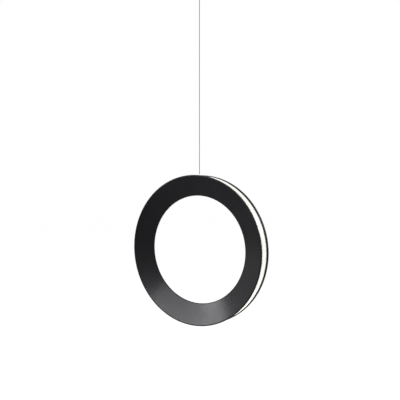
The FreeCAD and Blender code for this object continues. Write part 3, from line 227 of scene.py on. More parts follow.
def rub_group():
    """Where an edge is rubbed: the normal turns quickly there, broken up by noise."""
    group, given, result = new_group("edge_rub", [
        ("Vector", "Vector", None), ("Reach", "Float", 0.0008), ("Patches", "Float", 60.0),
    ], [("Rub", "Float")])
    soft = add_node(group, "ShaderNodeBevel", {"Radius": given.outputs["Reach"]}, samples=4)
    here = add_node(group, "ShaderNodeNewGeometry")
    along = add_node(group, "ShaderNodeVectorMath",
                     {0: soft.outputs["Normal"], 1: here.outputs["Normal"]},
                     operation="DOT_PRODUCT")
    edge = ranged(group, along.outputs["Value"], 0.995, 0.90, 0.0, 1.0)
    patches = add_node(group, "ShaderNodeTexNoise", {
        "Vector": given.outputs["Vector"], "Scale": given.outputs["Patches"], "Detail": 5.0})
    worn = ranged(group, patches.outputs["Fac"], 0.42, 0.66, 0.0, 1.0, smooth=True)
    group.links.new(maths(group, "MULTIPLY", edge, worn), result.inputs["Rub"])
    return group


def dust_group():
    """Thin dust that settles on what faces up."""
    group, given, result = new_group("settled_dust", [
        ("Vector", "Vector", None), ("Spread", "Float", 35.0),
    ], [("Dust", "Float")])
    facing = add_node(group, "ShaderNodeTexCoord")
    split = add_node(group, "ShaderNodeSeparateXYZ", {"Vector": facing.outputs["Normal"]})
    up = ranged(group, split.outputs["Z"], 0.15, 1.0, 0.0, 1.0, smooth=True)
    fluff = add_node(group, "ShaderNodeTexNoise", {
        "Vector": given.outputs["Vector"], "Scale": given.outputs["Spread"], "Detail": 6.0,
        "Roughness": 0.7})
    cover = ranged(group, fluff.outputs["Fac"], 0.35, 0.75, 0.25, 1.0)
    group.links.new(maths(group, "MULTIPLY", up, cover), result.inputs["Dust"])
    return group


COAT_GRAIN = grain_group()
EDGE_RUB = rub_group()
SETTLED_DUST = dust_group()
DUST_COLOUR = (0.42, 0.40, 0.37, 1)
ROUGHNESS_SWING = 0.08


def own_place(tree):
    """The point's place in its own object."""
    return add_node(tree, "ShaderNodeTexCoord").outputs["Object"]


def placed(tree, group, place, **values):
    """A node group placed in a material, with its own values."""
    inputs = {key.replace("_", " ").title(): value for key, value in values.items()}
    return add_node(tree, "ShaderNodeGroup", {"Vector": place, **inputs}, node_tree=group)


def coated(name, colour, cloud_colour, rub_colour, roughness, specular=0.5, grain=900.0,
           grain_depth=0.00003, cloud=9.0, rub_share=0.5, dust_share=0.05, reach=0.0008):
    """A coated or moulded finish: grain, clouds, rubbed edges and a little dust."""
    material, tree, shader = new_material(name, {"Specular IOR Level": specular})
    place = own_place(tree)
    texture = placed(tree, COAT_GRAIN, place, grain_size=grain, cloud_size=cloud)
    edges = placed(tree, EDGE_RUB, place, reach=reach)
    dust = placed(tree, SETTLED_DUST, place)
    base = blended(tree, texture.outputs["Clouds"], colour, cloud_colour)
    rubbed = blended(tree, maths(tree, "MULTIPLY", edges.outputs["Rub"], rub_share), base,
                     rub_colour)
    dusty = blended(tree, maths(tree, "MULTIPLY", dust.outputs["Dust"], dust_share), rubbed,
                    DUST_COLOUR)
    tree.links.new(dusty, shader.inputs["Base Color"])
    gloss = ranged(tree, texture.outputs["Clouds"], 0.0, 1.0, roughness - ROUGHNESS_SWING / 2,
                   roughness + ROUGHNESS_SWING / 2)
    tree.links.new(maths(tree, "MULTIPLY_ADD", texture.outputs["Specks"], 0.05, gloss),
                   shader.inputs["Roughness"])
    bumped(tree, shader, texture.outputs["Height"], 0.6, grain_depth)
    return material


BLACK_COAT = coated("black_powder_coat", (0.0020, 0.0019, 0.0022, 1), (0.0027, 0.0026, 0.0030, 1),
                    (0.016, 0.016, 0.017, 1), roughness=0.27, specular=0.052,
                    grain_depth=0.00002, dust_share=0.005, rub_share=0.4)


def new_tree(name, inputs):
    """An empty Geometry Nodes tree with a geometry input, named inputs and one output."""
    tree = bpy.data.node_groups.new(name, "GeometryNodeTree")
    tree.is_modifier = True
    sockets = [("Geometry", "Geometry", None), *inputs]
    for label, kind, value in sockets:
        socket = tree.interface.new_socket(label, in_out="INPUT", socket_type="NodeSocket" + kind)
        if value is not None:
            socket.default_value = value
    tree.interface.new_socket("Geometry", in_out="OUTPUT", socket_type="NodeSocketGeometry")
    return tree, tree.nodes.new("NodeGroupInput").outputs, tree.nodes.new("NodeGroupOutput").inputs


def end_tree(tree, geometry, material, result):
    """Close a tree: real geometry with its material."""
    real = add_node(tree, "GeometryNodeRealizeInstances", {"Geometry": geometry})
    painted = add_node(tree, "GeometryNodeSetMaterial",
                       {"Geometry": real.outputs["Geometry"], "Material": material})
    tree.links.new(painted.outputs["Geometry"], result["Geometry"])


def spun_tree():
    """A spun form: a profile with rounded corners, turned about an axis."""
    tree, given, result = new_tree("spun_form", [
        ("Middle Radius", "Float", 0.1), ("Sides", "Int", 64), ("Corner Steps", "Int", 4),
        ("Turn", "Vector", None), ("Place", "Vector", None), ("Material", "Material", None),
    ])
    outline = add_node(tree, "GeometryNodeMeshToCurve", {"Mesh": given["Geometry"]})
    radius = add_node(tree, "GeometryNodeInputNamedAttribute", {"Name": "corner_radius"},
                      data_type="FLOAT")
    rounded = add_node(tree, "GeometryNodeFilletCurve", {
        "Curve": outline.outputs["Curve"], "Count": given["Corner Steps"],
        "Radius": radius.outputs["Attribute"], "Limit Radius": True}, mode="POLY")
    circle = add_node(tree, "GeometryNodeCurvePrimitiveCircle",
                      {"Resolution": given["Sides"], "Radius": given["Middle Radius"]})
    skin = add_node(tree, "GeometryNodeCurveToMesh", {
        "Curve": circle.outputs["Curve"], "Profile Curve": rounded.outputs["Curve"]})
    put = add_node(tree, "GeometryNodeTransform", {
        "Geometry": skin.outputs["Mesh"], "Rotation": given["Turn"],
        "Translation": given["Place"]})
    end_tree(tree, put.outputs["Geometry"], given["Material"], result)
    return tree


SPUN_FORM = spun_tree()


def finished(piece):
    """A plain mesh of the piece with its modifiers in it."""
    graph = bpy.context.evaluated_depsgraph_get()
    return bpy.data.meshes.new_from_object(piece.evaluated_get(graph), depsgraph=graph)


def run_tree(name, mesh, tree, values):
    """Run a tree on a mesh and keep the result as one plain mesh object."""
    source = linked(name + "_source", mesh)
    modifier = source.modifiers.new("made", "NODES")
    modifier.node_group = tree
    sockets = {item.name: item.identifier for item in tree.interface.items_tree
               if item.in_out == "INPUT"}
    for label, value in values.items():
        modifier[sockets[label]] = value
    made = finished(source)
    bpy.data.objects.remove(source)
    made.name = name
    shell = bmesh.new()
    shell.from_mesh(made)
    bmesh.ops.remove_doubles(shell, verts=shell.verts, dist=1e-6)
    bmesh.ops.recalc_face_normals(shell, faces=shell.faces)
    shell.to_mesh(made)
    shell.free()
    return linked(name, made)


SHARP_FROM = math.radians(34)


def shade(piece):
    """Smooth shading that follows the large faces and stays sharp at true edges."""
    mesh = piece.data
    mesh.polygons.foreach_set("use_smooth", [True] * len(mesh.polygons))
    mesh.set_sharp_from_angle(angle=SHARP_FROM)
    even = piece.modifiers.new("even", "WEIGHTED_NORMAL")
    even.keep_sharp = True
    even.weight = 100
    shaded = finished(piece)
    piece.modifiers.remove(even)
    piece.data = shaded


def profile_mesh(name, corners, middle):
    """A closed outline of (radius, height, rounding) corners, measured from a middle radius."""
    mesh = bpy.data.meshes.new(name + "_outline")
    count = len(corners)
    mesh.from_pydata([(radius - middle, height, 0) for radius, height, rounding in corners],
                     [(index, (index + 1) % count) for index in range(count)], [])
    layer = mesh.attributes.new("corner_radius", "FLOAT", "POINT")
    layer.data.foreach_set("value", [corner[2] for corner in corners])
    return mesh


def ring_form(name, corners, material):
    """A form spun about the ring's axis, its depths measured from the front rim."""
    middle = 0.17
    return run_tree(name, profile_mesh(name, corners, middle), SPUN_FORM, {
        "Middle Radius": middle, "Sides": RING_SIDES, "Corner Steps": 4,
        "Turn": (math.radians(90), 0, 0), "Place": RING_MIDDLE, "Material": material})


def stands_for(piece, body, node):
    """Shade the piece; it rides on a body and stands for a CAD node, which is hidden."""
    shade(piece)
    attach(piece, body)
    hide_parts(node)


def front_inside(radius):
    """Depth of the front cone's inner face at a radius, behind the front rim."""
    return FRONT_SLOPE * (CONE_START - radius) + SKIN


HEM_END = front_inside(SEAM_RADIUS) + SEAM_GAP + SKIN
front_shell = ring_form("front_cone", [
    (RING_RADIUS, 0, 0.0005), (RING_RADIUS, LIP_DEPTH, 0.0002),
    (LIP_INSIDE, LIP_DEPTH, 0.0002), (LIP_INSIDE, SKIN, 0.0004), (CONE_START, SKIN, 0.0002),
    (HEM_OUTSIDE, front_inside(HEM_OUTSIDE), 0.0002), (HEM_OUTSIDE, HEM_END, 0.0002),
    (HOLE_RADIUS, HEM_END, 0.0005), (HOLE_RADIUS, HOLE_DEPTH, 0.0003),
    (HEM_OUTSIDE, HOLE_DEPTH, 0.0003), (CONE_START, 0, 0.0004),
], BLACK_COAT)
stands_for(front_shell, "ring", "front_shell")


# The rear shell: a second spun cone, shallower, that carries the wide band behind the light. It is
# drilled at the top of the band for the wire's boss. Its six screw holes lie under the screws'
# heads and are left out.
RING_DEPTH = 0.0424
REAR_BAND = 0.0081
REAR_OVERHANG = 0.0006
REAR_FLAT = 0.0012
BOSS_HOLE = 0.0023
BAND_FRONT = RING_DEPTH - REAR_BAND
REAR_RADIUS = RING_RADIUS + REAR_OVERHANG
REAR_START = REAR_RADIUS - REAR_FLAT
REAR_SLOPE = (RING_DEPTH - HEM_END) / (REAR_START - SEAM_RADIUS)
RING_TOP = RING_CENTRE + REAR_RADIUS


def rear_face(radius):
    """Depth of the rear cone's outer face at a radius, behind the front rim."""
    return RING_DEPTH - REAR_SLOPE * (REAR_START - radius)


def bore(piece, place, radius, depth):
    """Bore a round hole straight down into a piece."""
    drill = bmesh.new()
    bmesh.ops.create_cone(drill, cap_ends=True, segments=48, radius1=radius, radius2=radius,
                          depth=2 * depth, matrix=Matrix.Translation(place))
    mesh = bpy.data.meshes.new("drill")
    drill.to_mesh(mesh)
    drill.free()
    cutter = linked("drill", mesh)
    hole = piece.modifiers.new("hole", "BOOLEAN")
    hole.object = cutter
    hole.solver = "EXACT"
    bored = finished(piece)
    piece.modifiers.remove(hole)
    bpy.data.objects.remove(cutter)
    piece.data = bored


rear_shell = ring_form("rear_cone", [
    (REAR_RADIUS, BAND_FRONT, 0.0002), (REAR_RADIUS, RING_DEPTH, 0.0005),
    (REAR_START, RING_DEPTH, 0.0003), (SEAM_RADIUS, HEM_END, 0.0002),
    (SEAM_RADIUS, HEM_END - SKIN, 0.0002), (LIP_INSIDE, rear_face(LIP_INSIDE) - SKIN, 0.0004),
    (LIP_INSIDE, BAND_FRONT, 0.0002),
], coated("flat_black_coat", (0.0045, 0.0044, 0.0047, 1), (0.0056, 0.0055, 0.0059, 1),
          (0.025, 0.025, 0.026, 1), roughness=0.36, specular=0.035,
          grain_depth=0.00002, dust_share=0.005, rub_share=0.4))
bore(rear_shell, (0, 0, RING_TOP), BOSS_HOLE, depth=0.004)
stands_for(rear_shell, "ring", "rear_shell")


# The luminous band: a hoop of opal acrylic, slid in under the front lip and the rear band.
# It glows a soft warm white and is notched round the wire's boss. Towards both lips the glow is
# dimmed, partly because the strip lights the middle most and partly as painted shade under the
# lips.
GLOW_START = 0.005
GLOW_FULL = 0.017
GLOW_REAR_FADE = 0.006
opal, tree, shader = new_material("opal_acrylic", {
    "Roughness": 0.35, "IOR": 1.49, "Emission Strength": 0.50})
place = own_place(tree)
haze = placed(tree, COAT_GRAIN, place, grain_size=400.0, cloud_size=14.0)
across = add_node(tree, "ShaderNodeSeparateXYZ", {"Vector": place}).outputs["Y"]
# The glow's share falls towards the front lip and the rear band: partly the strip's own spread,
# partly painted shade where the lips overhang the band.
front_lip_painted_shade = ranged(tree, across, FRONT_RIM + GLOW_START, FRONT_RIM + GLOW_FULL, 0.05, 1.0,
                    smooth=True)
rear_band_painted_shade = ranged(tree, across, FRONT_RIM + BAND_FRONT, FRONT_RIM + BAND_FRONT - GLOW_REAR_FADE,
                   0.15, 1.0, smooth=True)
glow_share_after_painted_shade = maths(tree, "MULTIPLY", front_lip_painted_shade, rear_band_painted_shade)
tree.links.new(blended(tree, haze.outputs["Clouds"], (0.74, 0.75, 0.70, 1),
                       (0.77, 0.78, 0.73, 1)), shader.inputs["Base Color"])
glow = blended(tree, haze.outputs["Clouds"], (0.96, 0.98, 0.84, 1), (0.98, 1.0, 0.88, 1))
# Emission colour: the glow times its share, so the painted shade near the lips is in the glow.
tree.links.new(blended(tree, glow_share_after_painted_shade, (0.0, 0.0, 0.0, 1), glow), shader.inputs["Emission Color"])
bumped(tree, shader, haze.outputs["Height"], 0.2, 0.00001)

OPAL_FIT = 0.00015
OPAL_WALL = 0.0028
OPAL_TONGUE = 0.0012
BOSS_NOTCH = 0.00265
OPAL_OUTSIDE = LIP_INSIDE - OPAL_FIT
OPAL_INSIDE = OPAL_OUTSIDE - OPAL_WALL
OPAL_START = front_inside(OPAL_INSIDE) + OPAL_FIT
OPAL_END = BAND_FRONT + OPAL_TONGUE
diffuser = ring_form("opal_band", [
    (OPAL_OUTSIDE, OPAL_START, 0.0002), (OPAL_OUTSIDE, OPAL_END, 0.0002),
    (OPAL_INSIDE, OPAL_END, 0.0002), (OPAL_INSIDE, OPAL_START, 0.0002),
], opal)
bore(diffuser, (0, 0, RING_TOP), BOSS_NOTCH, depth=0.008)
stands_for(diffuser, "ring", "diffuser_hoop")


# The carrier hoop: a flat aluminium bar, rolled to a hoop and bevelled to the two cones. It backs
# the strip, takes its heat, and is left with its rolled finish.
BLOTCH_SCALE = 40.0


def drawn(name, colour, dark_colour, lines, roughness, metallic=1.0, depth=0.00001):
    """A bare or plated metal with fine lines from rolling, turning or drawing."""
    material, tree, shader = new_material(name, {"Metallic": metallic})
    place = own_place(tree)
    along = add_node(tree, "ShaderNodeMapping", {"Vector": place, "Scale": lines})
    streaks = add_node(tree, "ShaderNodeTexNoise", {
        "Vector": along.outputs["Vector"], "Scale": 1.0, "Detail": 5.0, "Roughness": 0.65})
    blotches = add_node(tree, "ShaderNodeTexNoise", {"Vector": place, "Scale": BLOTCH_SCALE,
                                                     "Detail": 4.0})
    edges = placed(tree, EDGE_RUB, place, reach=0.0003, patches=300.0)
    tone = blended(tree, ranged(tree, streaks.outputs["Fac"], 0.3, 0.7, 0.0, 1.0), dark_colour,
                   colour)
    worn = blended(tree, maths(tree, "MULTIPLY", edges.outputs["Rub"], 0.35), tone,
                   [min(1.0, 1.15 * part) for part in colour[:3]] + [1.0])
    tree.links.new(worn, shader.inputs["Base Color"])
    tree.links.new(ranged(tree, blotches.outputs["Fac"], 0.3, 0.7, roughness - 0.06,
                          roughness + 0.08), shader.inputs["Roughness"])
    bumped(tree, shader, streaks.outputs["Fac"], 0.4, depth)
    return material


def dress(node, material):
    """Give a CAD piece its finish."""
    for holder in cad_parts[node].material_slots:
        holder.material = material


dress("led_carrier_hoop", drawn("rolled_aluminium", (0.78, 0.79, 0.80, 1), (0.62, 0.63, 0.64, 1),
                                (30, 2600, 30), 0.36))


# The strip: a flexible circuit board with a white solder mask, glued round the hoop. Two copper
# tracks stand up a little under the mask along its edges.
LIGHT_GAP = 0.014
STRIP_THICKNESS = 0.0005
STRIP_OUTSIDE = OPAL_INSIDE - LIGHT_GAP
STRIP_DEPTH = (LIP_DEPTH + BAND_FRONT) / 2
TRACK_EDGE = 0.0030
mask_finish, tree, shader = new_material("white_solder_mask", {"Specular IOR Level": 0.4})
place = own_place(tree)
texture = placed(tree, COAT_GRAIN, place, grain_size=1500.0, cloud_size=30.0)
across = add_node(tree, "ShaderNodeSeparateXYZ", {"Vector": place}).outputs["Y"]
off_middle = maths(tree, "ABSOLUTE", maths(tree, "SUBTRACT", across, FRONT_RIM + STRIP_DEPTH))
track = ranged(tree, off_middle, TRACK_EDGE, TRACK_EDGE + 0.0004, 0.0, 1.0)
tree.links.new(blended(tree, texture.outputs["Clouds"], (0.86, 0.86, 0.83, 1),
                       (0.89, 0.89, 0.87, 1)), shader.inputs["Base Color"])
tree.links.new(ranged(tree, texture.outputs["Clouds"], 0.0, 1.0, 0.38, 0.48),
               shader.inputs["Roughness"])
bumped(tree, shader, track, 0.8, 0.00006)
dress("led_strip", mask_finish)


# The diodes: 120 small packages soldered on the strip. Each is a white moulded cup filled with
# yellow phosphor resin.
DIODE_COUNT = 120


def set_round_tree():
    """Copies of one item, set evenly about an axis through a centre."""
    tree, given, result = new_tree("set_round", [
        ("Count", "Int", 6), ("Axis", "Vector", None), ("Centre", "Vector", None),
        ("Material", "Material", None),
    ])
    marks = add_node(tree, "GeometryNodeMeshLine", {"Count": given["Count"],
                                                    "Offset": (0, 0, 0)})
    number = add_node(tree, "GeometryNodeInputIndex")
    step = maths(tree, "DIVIDE", math.tau, given["Count"])
    turn = maths(tree, "MULTIPLY", number.outputs["Index"], step)
    about = add_node(tree, "ShaderNodeVectorMath", {0: given["Axis"], "Scale": turn},
                     operation="SCALE")
    copies = add_node(tree, "GeometryNodeInstanceOnPoints", {
        "Points": marks.outputs["Mesh"], "Instance": given["Geometry"],
        "Rotation": about.outputs["Vector"]})
    put = add_node(tree, "GeometryNodeTransform", {
        "Geometry": copies.outputs["Instances"], "Translation": given["Centre"]})
    end_tree(tree, put.outputs["Geometry"], given["Material"], result)
    return tree


SET_ROUND = set_round_tree()


def diode_mesh():
    """One package: its cup with a bevelled rim, and the resin's window sunk in it."""
    mesh = bpy.data.meshes.new("diode")
    # half depth, half width and height of each ring of corners, from the strip outwards
    rings = [(0.0014, 0.00175, 0), (0.0014, 0.00175, 0.00068), (0.00132, 0.00167, 0.0008),
             (0.00112, 0.00147, 0.0008), (0.00100, 0.00135, 0.00066)]
    places = []
    for half_y, half_z, height in rings:
        x = STRIP_OUTSIDE + height
        places += [(x, STRIP_DEPTH - half_y, -half_z), (x, STRIP_DEPTH + half_y, -half_z),
                   (x, STRIP_DEPTH + half_y, half_z), (x, STRIP_DEPTH - half_y, half_z)]
    faces = [(3, 2, 1, 0)]
    for ring in range(len(rings) - 1):
        for side in range(4):
            after = (side + 1) % 4
            faces.append((4 * ring + side, 4 * ring + after, 4 * ring + 4 + after,
                          4 * ring + 4 + side))
    last = 4 * (len(rings) - 1)
    faces.append((last, last + 1, last + 2, last + 3))
    mesh.from_pydata(places, [], faces)
    window = mesh.attributes.new("resin", "FLOAT", "POINT")
    window.data.foreach_set("value", [0.0] * last + [1.0] * 4)
    return mesh


diode_finish, tree, shader = new_material("diode_package", {
    "Specular IOR Level": 0.5, "Emission Strength": 0.6})
texture = placed(tree, COAT_GRAIN, own_place(tree), grain_size=2500.0, cloud_size=300.0)
resin = add_node(tree, "ShaderNodeAttribute", attribute_name="resin").outputs["Fac"]
window = ranged(tree, resin, 0.6, 0.9, 0.0, 1.0)
phosphor = blended(tree, texture.outputs["Clouds"], (0.93, 0.76, 0.26, 1),
                   (0.97, 0.84, 0.38, 1))
tree.links.new(blended(tree, window, (0.85, 0.85, 0.82, 1), phosphor),
               shader.inputs["Base Color"])
tree.links.new(blended(tree, window, (0, 0, 0, 1), (1.0, 0.90, 0.62, 1)),
               shader.inputs["Emission Color"])
tree.links.new(ranged(tree, window, 0.0, 1.0, 0.5, 0.18), shader.inputs["Roughness"])
bumped(tree, shader, texture.outputs["Height"], 0.3, 0.00001)
diodes = run_tree("diodes", diode_mesh(), SET_ROUND, {
    "Count": DIODE_COUNT, "Axis": (0, 1, 0), "Centre": RING_MIDDLE,
    "Material": diode_finish})
stands_for(diodes, "ring", "led_chips")


# The six wedge blocks: cut from an aluminium extrusion, they fill the gap between the cones.
# Both shells are screwed to them, and so is the hoop.
dress("hoop_blocks", drawn("extruded_aluminium", (0.74, 0.75, 0.76, 1), (0.58, 0.59, 0.60, 1),
                           (900, 60, 900), 0.42))


# The ring's screws: six black socket screws square to the rear cone, and six zinc-plated ones
# through the hoop. Each has a low button head with a hexagon socket and goes into a block.
HEAD_HEIGHT = 0.00165
SOCKET_CORNER = 0.00115
SOCKET_FLOOR = 0.0005
SEAT_GAP = 0.00003
RING_SCREWS = 6
SHELL_SCREW_INSET = 0.0121
HOOP_SCREW_SHIFT = 0.00985


def screw_mesh(name, length):
    """One button-head screw, upright, the underside of its head at height 0."""
    sides = 24
    corner = math.pi / 3
    outline = [(0.00125, -length), (0.0015, -length + 0.0003), (0.0015, 0.0), (0.0027, 0.0),
               (0.00275, 0.00008), (0.00275, 0.0004), (0.00266, 0.0008), (0.0024, 0.00122),
               (0.0020, 0.00152), (0.0016, HEAD_HEIGHT)]
    levels = [[(radius, height)] * sides for radius, height in outline]
    for height in (HEAD_HEIGHT, SOCKET_FLOOR):
        hexagon = []
        for side in range(sides):
            lean = (math.tau * side / sides) % corner - corner / 2
            hexagon.append((SOCKET_CORNER * math.cos(corner / 2) / math.cos(lean), height))
        levels.append(hexagon)
    mesh = bmesh.new()
    rings = []
    for level in levels:
        rings.append([mesh.verts.new((radius * math.cos(math.tau * side / sides),
                                      radius * math.sin(math.tau * side / sides), height))
                      for side, (radius, height) in enumerate(level)])
    for low, high in zip(rings, rings[1:]):
        for side in range(sides):
            after = (side + 1) % sides
            mesh.faces.new((low[side], low[after], high[after], high[side]))
    mesh.faces.new(list(reversed(rings[0])))
    mesh.faces.new(rings[-1])
    screw = bpy.data.meshes.new(name)
    mesh.to_mesh(screw)
    mesh.free()
    return screw


def screws_round(name, length, seat, outward, count, axis, centre, material):
    """Screws set round an axis, each pointing outward from its seat."""
    mesh = screw_mesh(name + "_one", length)
    aim = Vector(outward).to_track_quat("Z", "Y").to_matrix().to_4x4()
    mesh.transform(Matrix.Translation(seat) @ aim)
    return run_tree(name, mesh, SET_ROUND, {"Count": count, "Axis": axis, "Centre": centre,
                                            "Material": material})


BLACK_OXIDE = drawn("black_oxide", (0.016, 0.016, 0.017, 1), (0.010, 0.010, 0.011, 1),
                    (700, 700, 700), 0.38, metallic=0.3)
ZINC_PLATE = drawn("zinc_plate", (0.66, 0.67, 0.68, 1), (0.50, 0.51, 0.53, 1),
                   (700, 700, 700), 0.32)
SHELL_SCREW_RADIUS = STRIP_OUTSIDE - SHELL_SCREW_INSET
slant = math.hypot(1, REAR_SLOPE)
shell_screws = screws_round(
    "shell_socket_screws", length=0.008,
    seat=(SHELL_SCREW_RADIUS - SEAT_GAP * REAR_SLOPE / slant,
          rear_face(SHELL_SCREW_RADIUS) + SEAT_GAP / slant, 0),
    outward=(-REAR_SLOPE, 1, 0), count=RING_SCREWS, axis=(0, 1, 0), centre=RING_MIDDLE,
    material=BLACK_OXIDE)
stands_for(shell_screws, "ring", "shell_screws")
hoop_screws = screws_round(
    "hoop_socket_screws", length=0.0055,
    seat=(STRIP_OUTSIDE - STRIP_THICKNESS + SEAT_GAP, STRIP_DEPTH + HOOP_SCREW_SHIFT, 0),
    outward=(1, 0, 0), count=RING_SCREWS, axis=(0, 1, 0), centre=RING_MIDDLE,
    material=ZINC_PLATE)
stands_for(hoop_screws, "ring", "hoop_screws")


# The wire's lower end: a nickel-plated ferrule, swaged on the wire, hangs in a plastic bush in a
# black turned boss under the rear band. A white disc closes the boss.


def upright_form(name, top, corners, sides, material):
    """A form spun about the wire's line, its heights measured from a level."""
    middle = 0.05
    return run_tree(name, profile_mesh(name, corners, middle), SPUN_FORM, {
        "Middle Radius": middle, "Sides": sides, "Corner Steps": 3,
        "Turn": (math.pi, 0, 0), "Place": (0, 0, top), "Material": material})


SATIN_NICKEL = drawn("satin_nickel", (0.66, 0.64, 0.60, 1), (0.54, 0.52, 0.49, 1),
                     (60, 60, 5200), 0.26, depth=0.000006)
MOULDED_WHITE = coated("moulded_white", (0.83, 0.83, 0.80, 1), (0.86, 0.86, 0.84, 1),
                       (0.90, 0.90, 0.88, 1), roughness=0.42, grain=1600.0,
                       grain_depth=0.00001, cloud=50.0, dust_share=0.04)
ferrule = upright_form("swaged_ferrule", RING_TOP, [
    (0.0008, 0.002, 0.00005), (0.00105, 0.002, 0.0001), (0.00125, 0.0016, 0.0002),
    (0.00125, 0.0012, 0.0001), (0.00118, 0.0011, 0.0001), (0.00118, 0.0007, 0.0001),
    (0.00125, 0.0006, 0.0001), (0.00125, -0.00305, 0.0001), (0.00185, -0.00305, 0.0002),
    (0.00185, -0.00455, 0.0003), (0.0, -0.00455, 0), (0.0, -0.00305, 0),
    (0.0008, -0.00305, 0),
], 40, SATIN_NICKEL)
stands_for(ferrule, "wire", "cable_ferrule")
dress("cable_boss", coated("black_boss", (0.012, 0.012, 0.013, 1), (0.016, 0.016, 0.017, 1),
                           (0.06, 0.06, 0.06, 1), roughness=0.34, grain=2500.0,
                           grain_depth=0.00001, cloud=200.0, reach=0.0003))
dress("boss_insulator", MOULDED_WHITE)
dress("boss_cap", MOULDED_WHITE)


# The splice block on the hoop, and the two silicone-covered leads that come down to it from the
# boss. They carry the wire's low voltage to the strip.
SILICONE = coated("silicone_lead", (0.50, 0.51, 0.53, 1), (0.56, 0.57, 0.59, 1),
                  (0.62, 0.63, 0.65, 1), roughness=0.55, grain=1800.0, grain_depth=0.000008,
                  cloud=120.0, dust_share=0.08)
dress("feed_block", MOULDED_WHITE)
dress("feed_leads", SILICONE)


# The gripper's barrel: turned and nickel-plated, with two rings cut round it near its mouth. Its
# threaded neck screws into the swivel ball.
BARREL_TOP = -0.035
BARREL_LENGTH = 0.022
BARREL_RADIUS = 0.0055
BARREL_MOUTH = BARREL_TOP - BARREL_LENGTH
CUT_DEPTH = 0.00022
CUT_WIDTH = 0.0009


def cut_ring(height):
    """Corners of one ring cut round the barrel, from its upper edge down."""
    floor = BARREL_RADIUS - CUT_DEPTH
    return [(BARREL_RADIUS, height, 0.00008), (floor, height - CUT_DEPTH, 0.0001),
            (floor, height - CUT_WIDTH + CUT_DEPTH, 0.0001),
            (BARREL_RADIUS, height - CUT_WIDTH, 0.00008)]


barrel = upright_form("turned_barrel", BARREL_TOP, [
    (0.0011, 0.0094, 0.0001), (0.003, 0.0094, 0.0002), (0.003, 0.0, 0.0002),
    (0.0047, 0.0, 0.0002), (BARREL_RADIUS, -0.0008, 0.0003),
    *cut_ring(-0.0158), *cut_ring(-0.0178),
    (BARREL_RADIUS, -0.0212, 0.0003), (0.0047, -BARREL_LENGTH, 0.0002),
    (0.0025, -BARREL_LENGTH, 0.0001), (0.0025, -0.017, 0), (0.0036, -0.011, 0), (0.0036, -0.003, 0),
    (0.0011, -0.003, 0),
], 96, SATIN_NICKEL)
stands_for(barrel, "gripper", "gripper_barrel")


# The gripper's plunger: a turned and nickel-plated guide tube for the wire, with a knurled finger
# flange at its foot. Pushing it up lifts the balls and frees the wire.
PLUNGER_REACH = 0.008227
KNURLED_FROM = 0.0033


def knurled_tree():
    """A spun form whose outermost skin is pressed into fine upright ridges."""
    tree, given, result = new_tree("knurled_form", [
        ("Ridges", "Int", 48), ("Ridge Depth", "Float", 0.0001),
        ("Over Radius", "Float", KNURLED_FROM), ("Material", "Material", None),
    ])
    here = add_node(tree, "GeometryNodeInputPosition").outputs["Position"]
    split = add_node(tree, "ShaderNodeSeparateXYZ", {"Vector": here})
    around_axis = maths(tree, "ARCTAN2", split.outputs["Y"], split.outputs["X"])
    reach = maths(tree, "SQRT", maths(tree, "ADD", maths(tree, "POWER", split.outputs["X"], 2.0),
                                      maths(tree, "POWER", split.outputs["Y"], 2.0)))
    wave = maths(tree, "COSINE", maths(tree, "MULTIPLY", around_axis, given["Ridges"]))
    inward = maths(tree, "MULTIPLY", maths(tree, "SUBTRACT", wave, 1.0), given["Ridge Depth"])
    share = maths(tree, "DIVIDE", maths(tree, "MULTIPLY", inward, 0.5), reach)
    outermost = add_node(tree, "FunctionNodeCompare", {"A": reach, "B": given["Over Radius"]},
                         data_type="FLOAT", operation="GREATER_THAN")
    flat = add_node(tree, "ShaderNodeCombineXYZ", {"X": split.outputs["X"],
                                                   "Y": split.outputs["Y"]})
    shift = add_node(tree, "ShaderNodeVectorMath", {0: flat.outputs["Vector"], "Scale": share},
                     operation="SCALE")
    pressed = add_node(tree, "GeometryNodeSetPosition", {
        "Geometry": given["Geometry"], "Selection": outermost.outputs["Result"],
        "Offset": shift.outputs["Vector"]})
    end_tree(tree, pressed.outputs["Geometry"], given["Material"], result)
    return tree


smooth_plunger = upright_form("plunger_blank", BARREL_MOUTH, [
    (0.0011, -0.005, 0.0001), (0.0030, -0.005, 0.0002), (0.0034, -0.0046, 0.0001),
    (0.0034, -0.0036, 0.0001), (0.0030, -0.0032, 0.0001), (0.0024, -0.0032, 0.0002),
    (0.0024, PLUNGER_REACH, 0.0001), (0.0011, PLUNGER_REACH, 0.0001),
], 192, SATIN_NICKEL)
plunger = run_tree("knurled_plunger", smooth_plunger.data, knurled_tree(), {
    "Ridges": 40, "Ridge Depth": 0.00016, "Over Radius": KNURLED_FROM,
    "Material": SATIN_NICKEL})
bpy.data.objects.remove(smooth_plunger)
stands_for(plunger, "plunger", "gripper_plunger")


# The gripper's balls and spring: three hardened balls wedge the wire in the barrel's cone, and a
# coil spring above keeps them there. In use the spring shortens as the plunger is pushed up; here
# it is built at rest and rides on the gripper.
COIL_RADIUS = 0.0027
COIL_WIRE_RADIUS = 0.00035
COIL_TURNS = 7
COIL_STEPS = 36
SPRING_ROOF = -0.038
SPRING_FOOT = -0.04627
SPRING_LENGTH = SPRING_ROOF - SPRING_FOOT
COIL_RISE = SPRING_LENGTH - 2 * COIL_WIRE_RADIUS
CLOSED_PITCH = 2.05 * COIL_WIRE_RADIUS


def coil_height(turn):
    """Rise of the wire's centre line after so many turns. Both end coils lie closed."""
    if turn < 1:
        return CLOSED_PITCH * turn
    if turn > COIL_TURNS - 1:
        return COIL_RISE - CLOSED_PITCH * (COIL_TURNS - turn)
    return CLOSED_PITCH + (COIL_RISE - 2 * CLOSED_PITCH) * (turn - 1) / (COIL_TURNS - 2)


def coil_place(turn):
    """The place of the wire's centre line after so many turns."""
    angle = math.tau * turn
    return (COIL_RADIUS * math.cos(angle), COIL_RADIUS * math.sin(angle),
            SPRING_FOOT + COIL_WIRE_RADIUS + coil_height(turn))


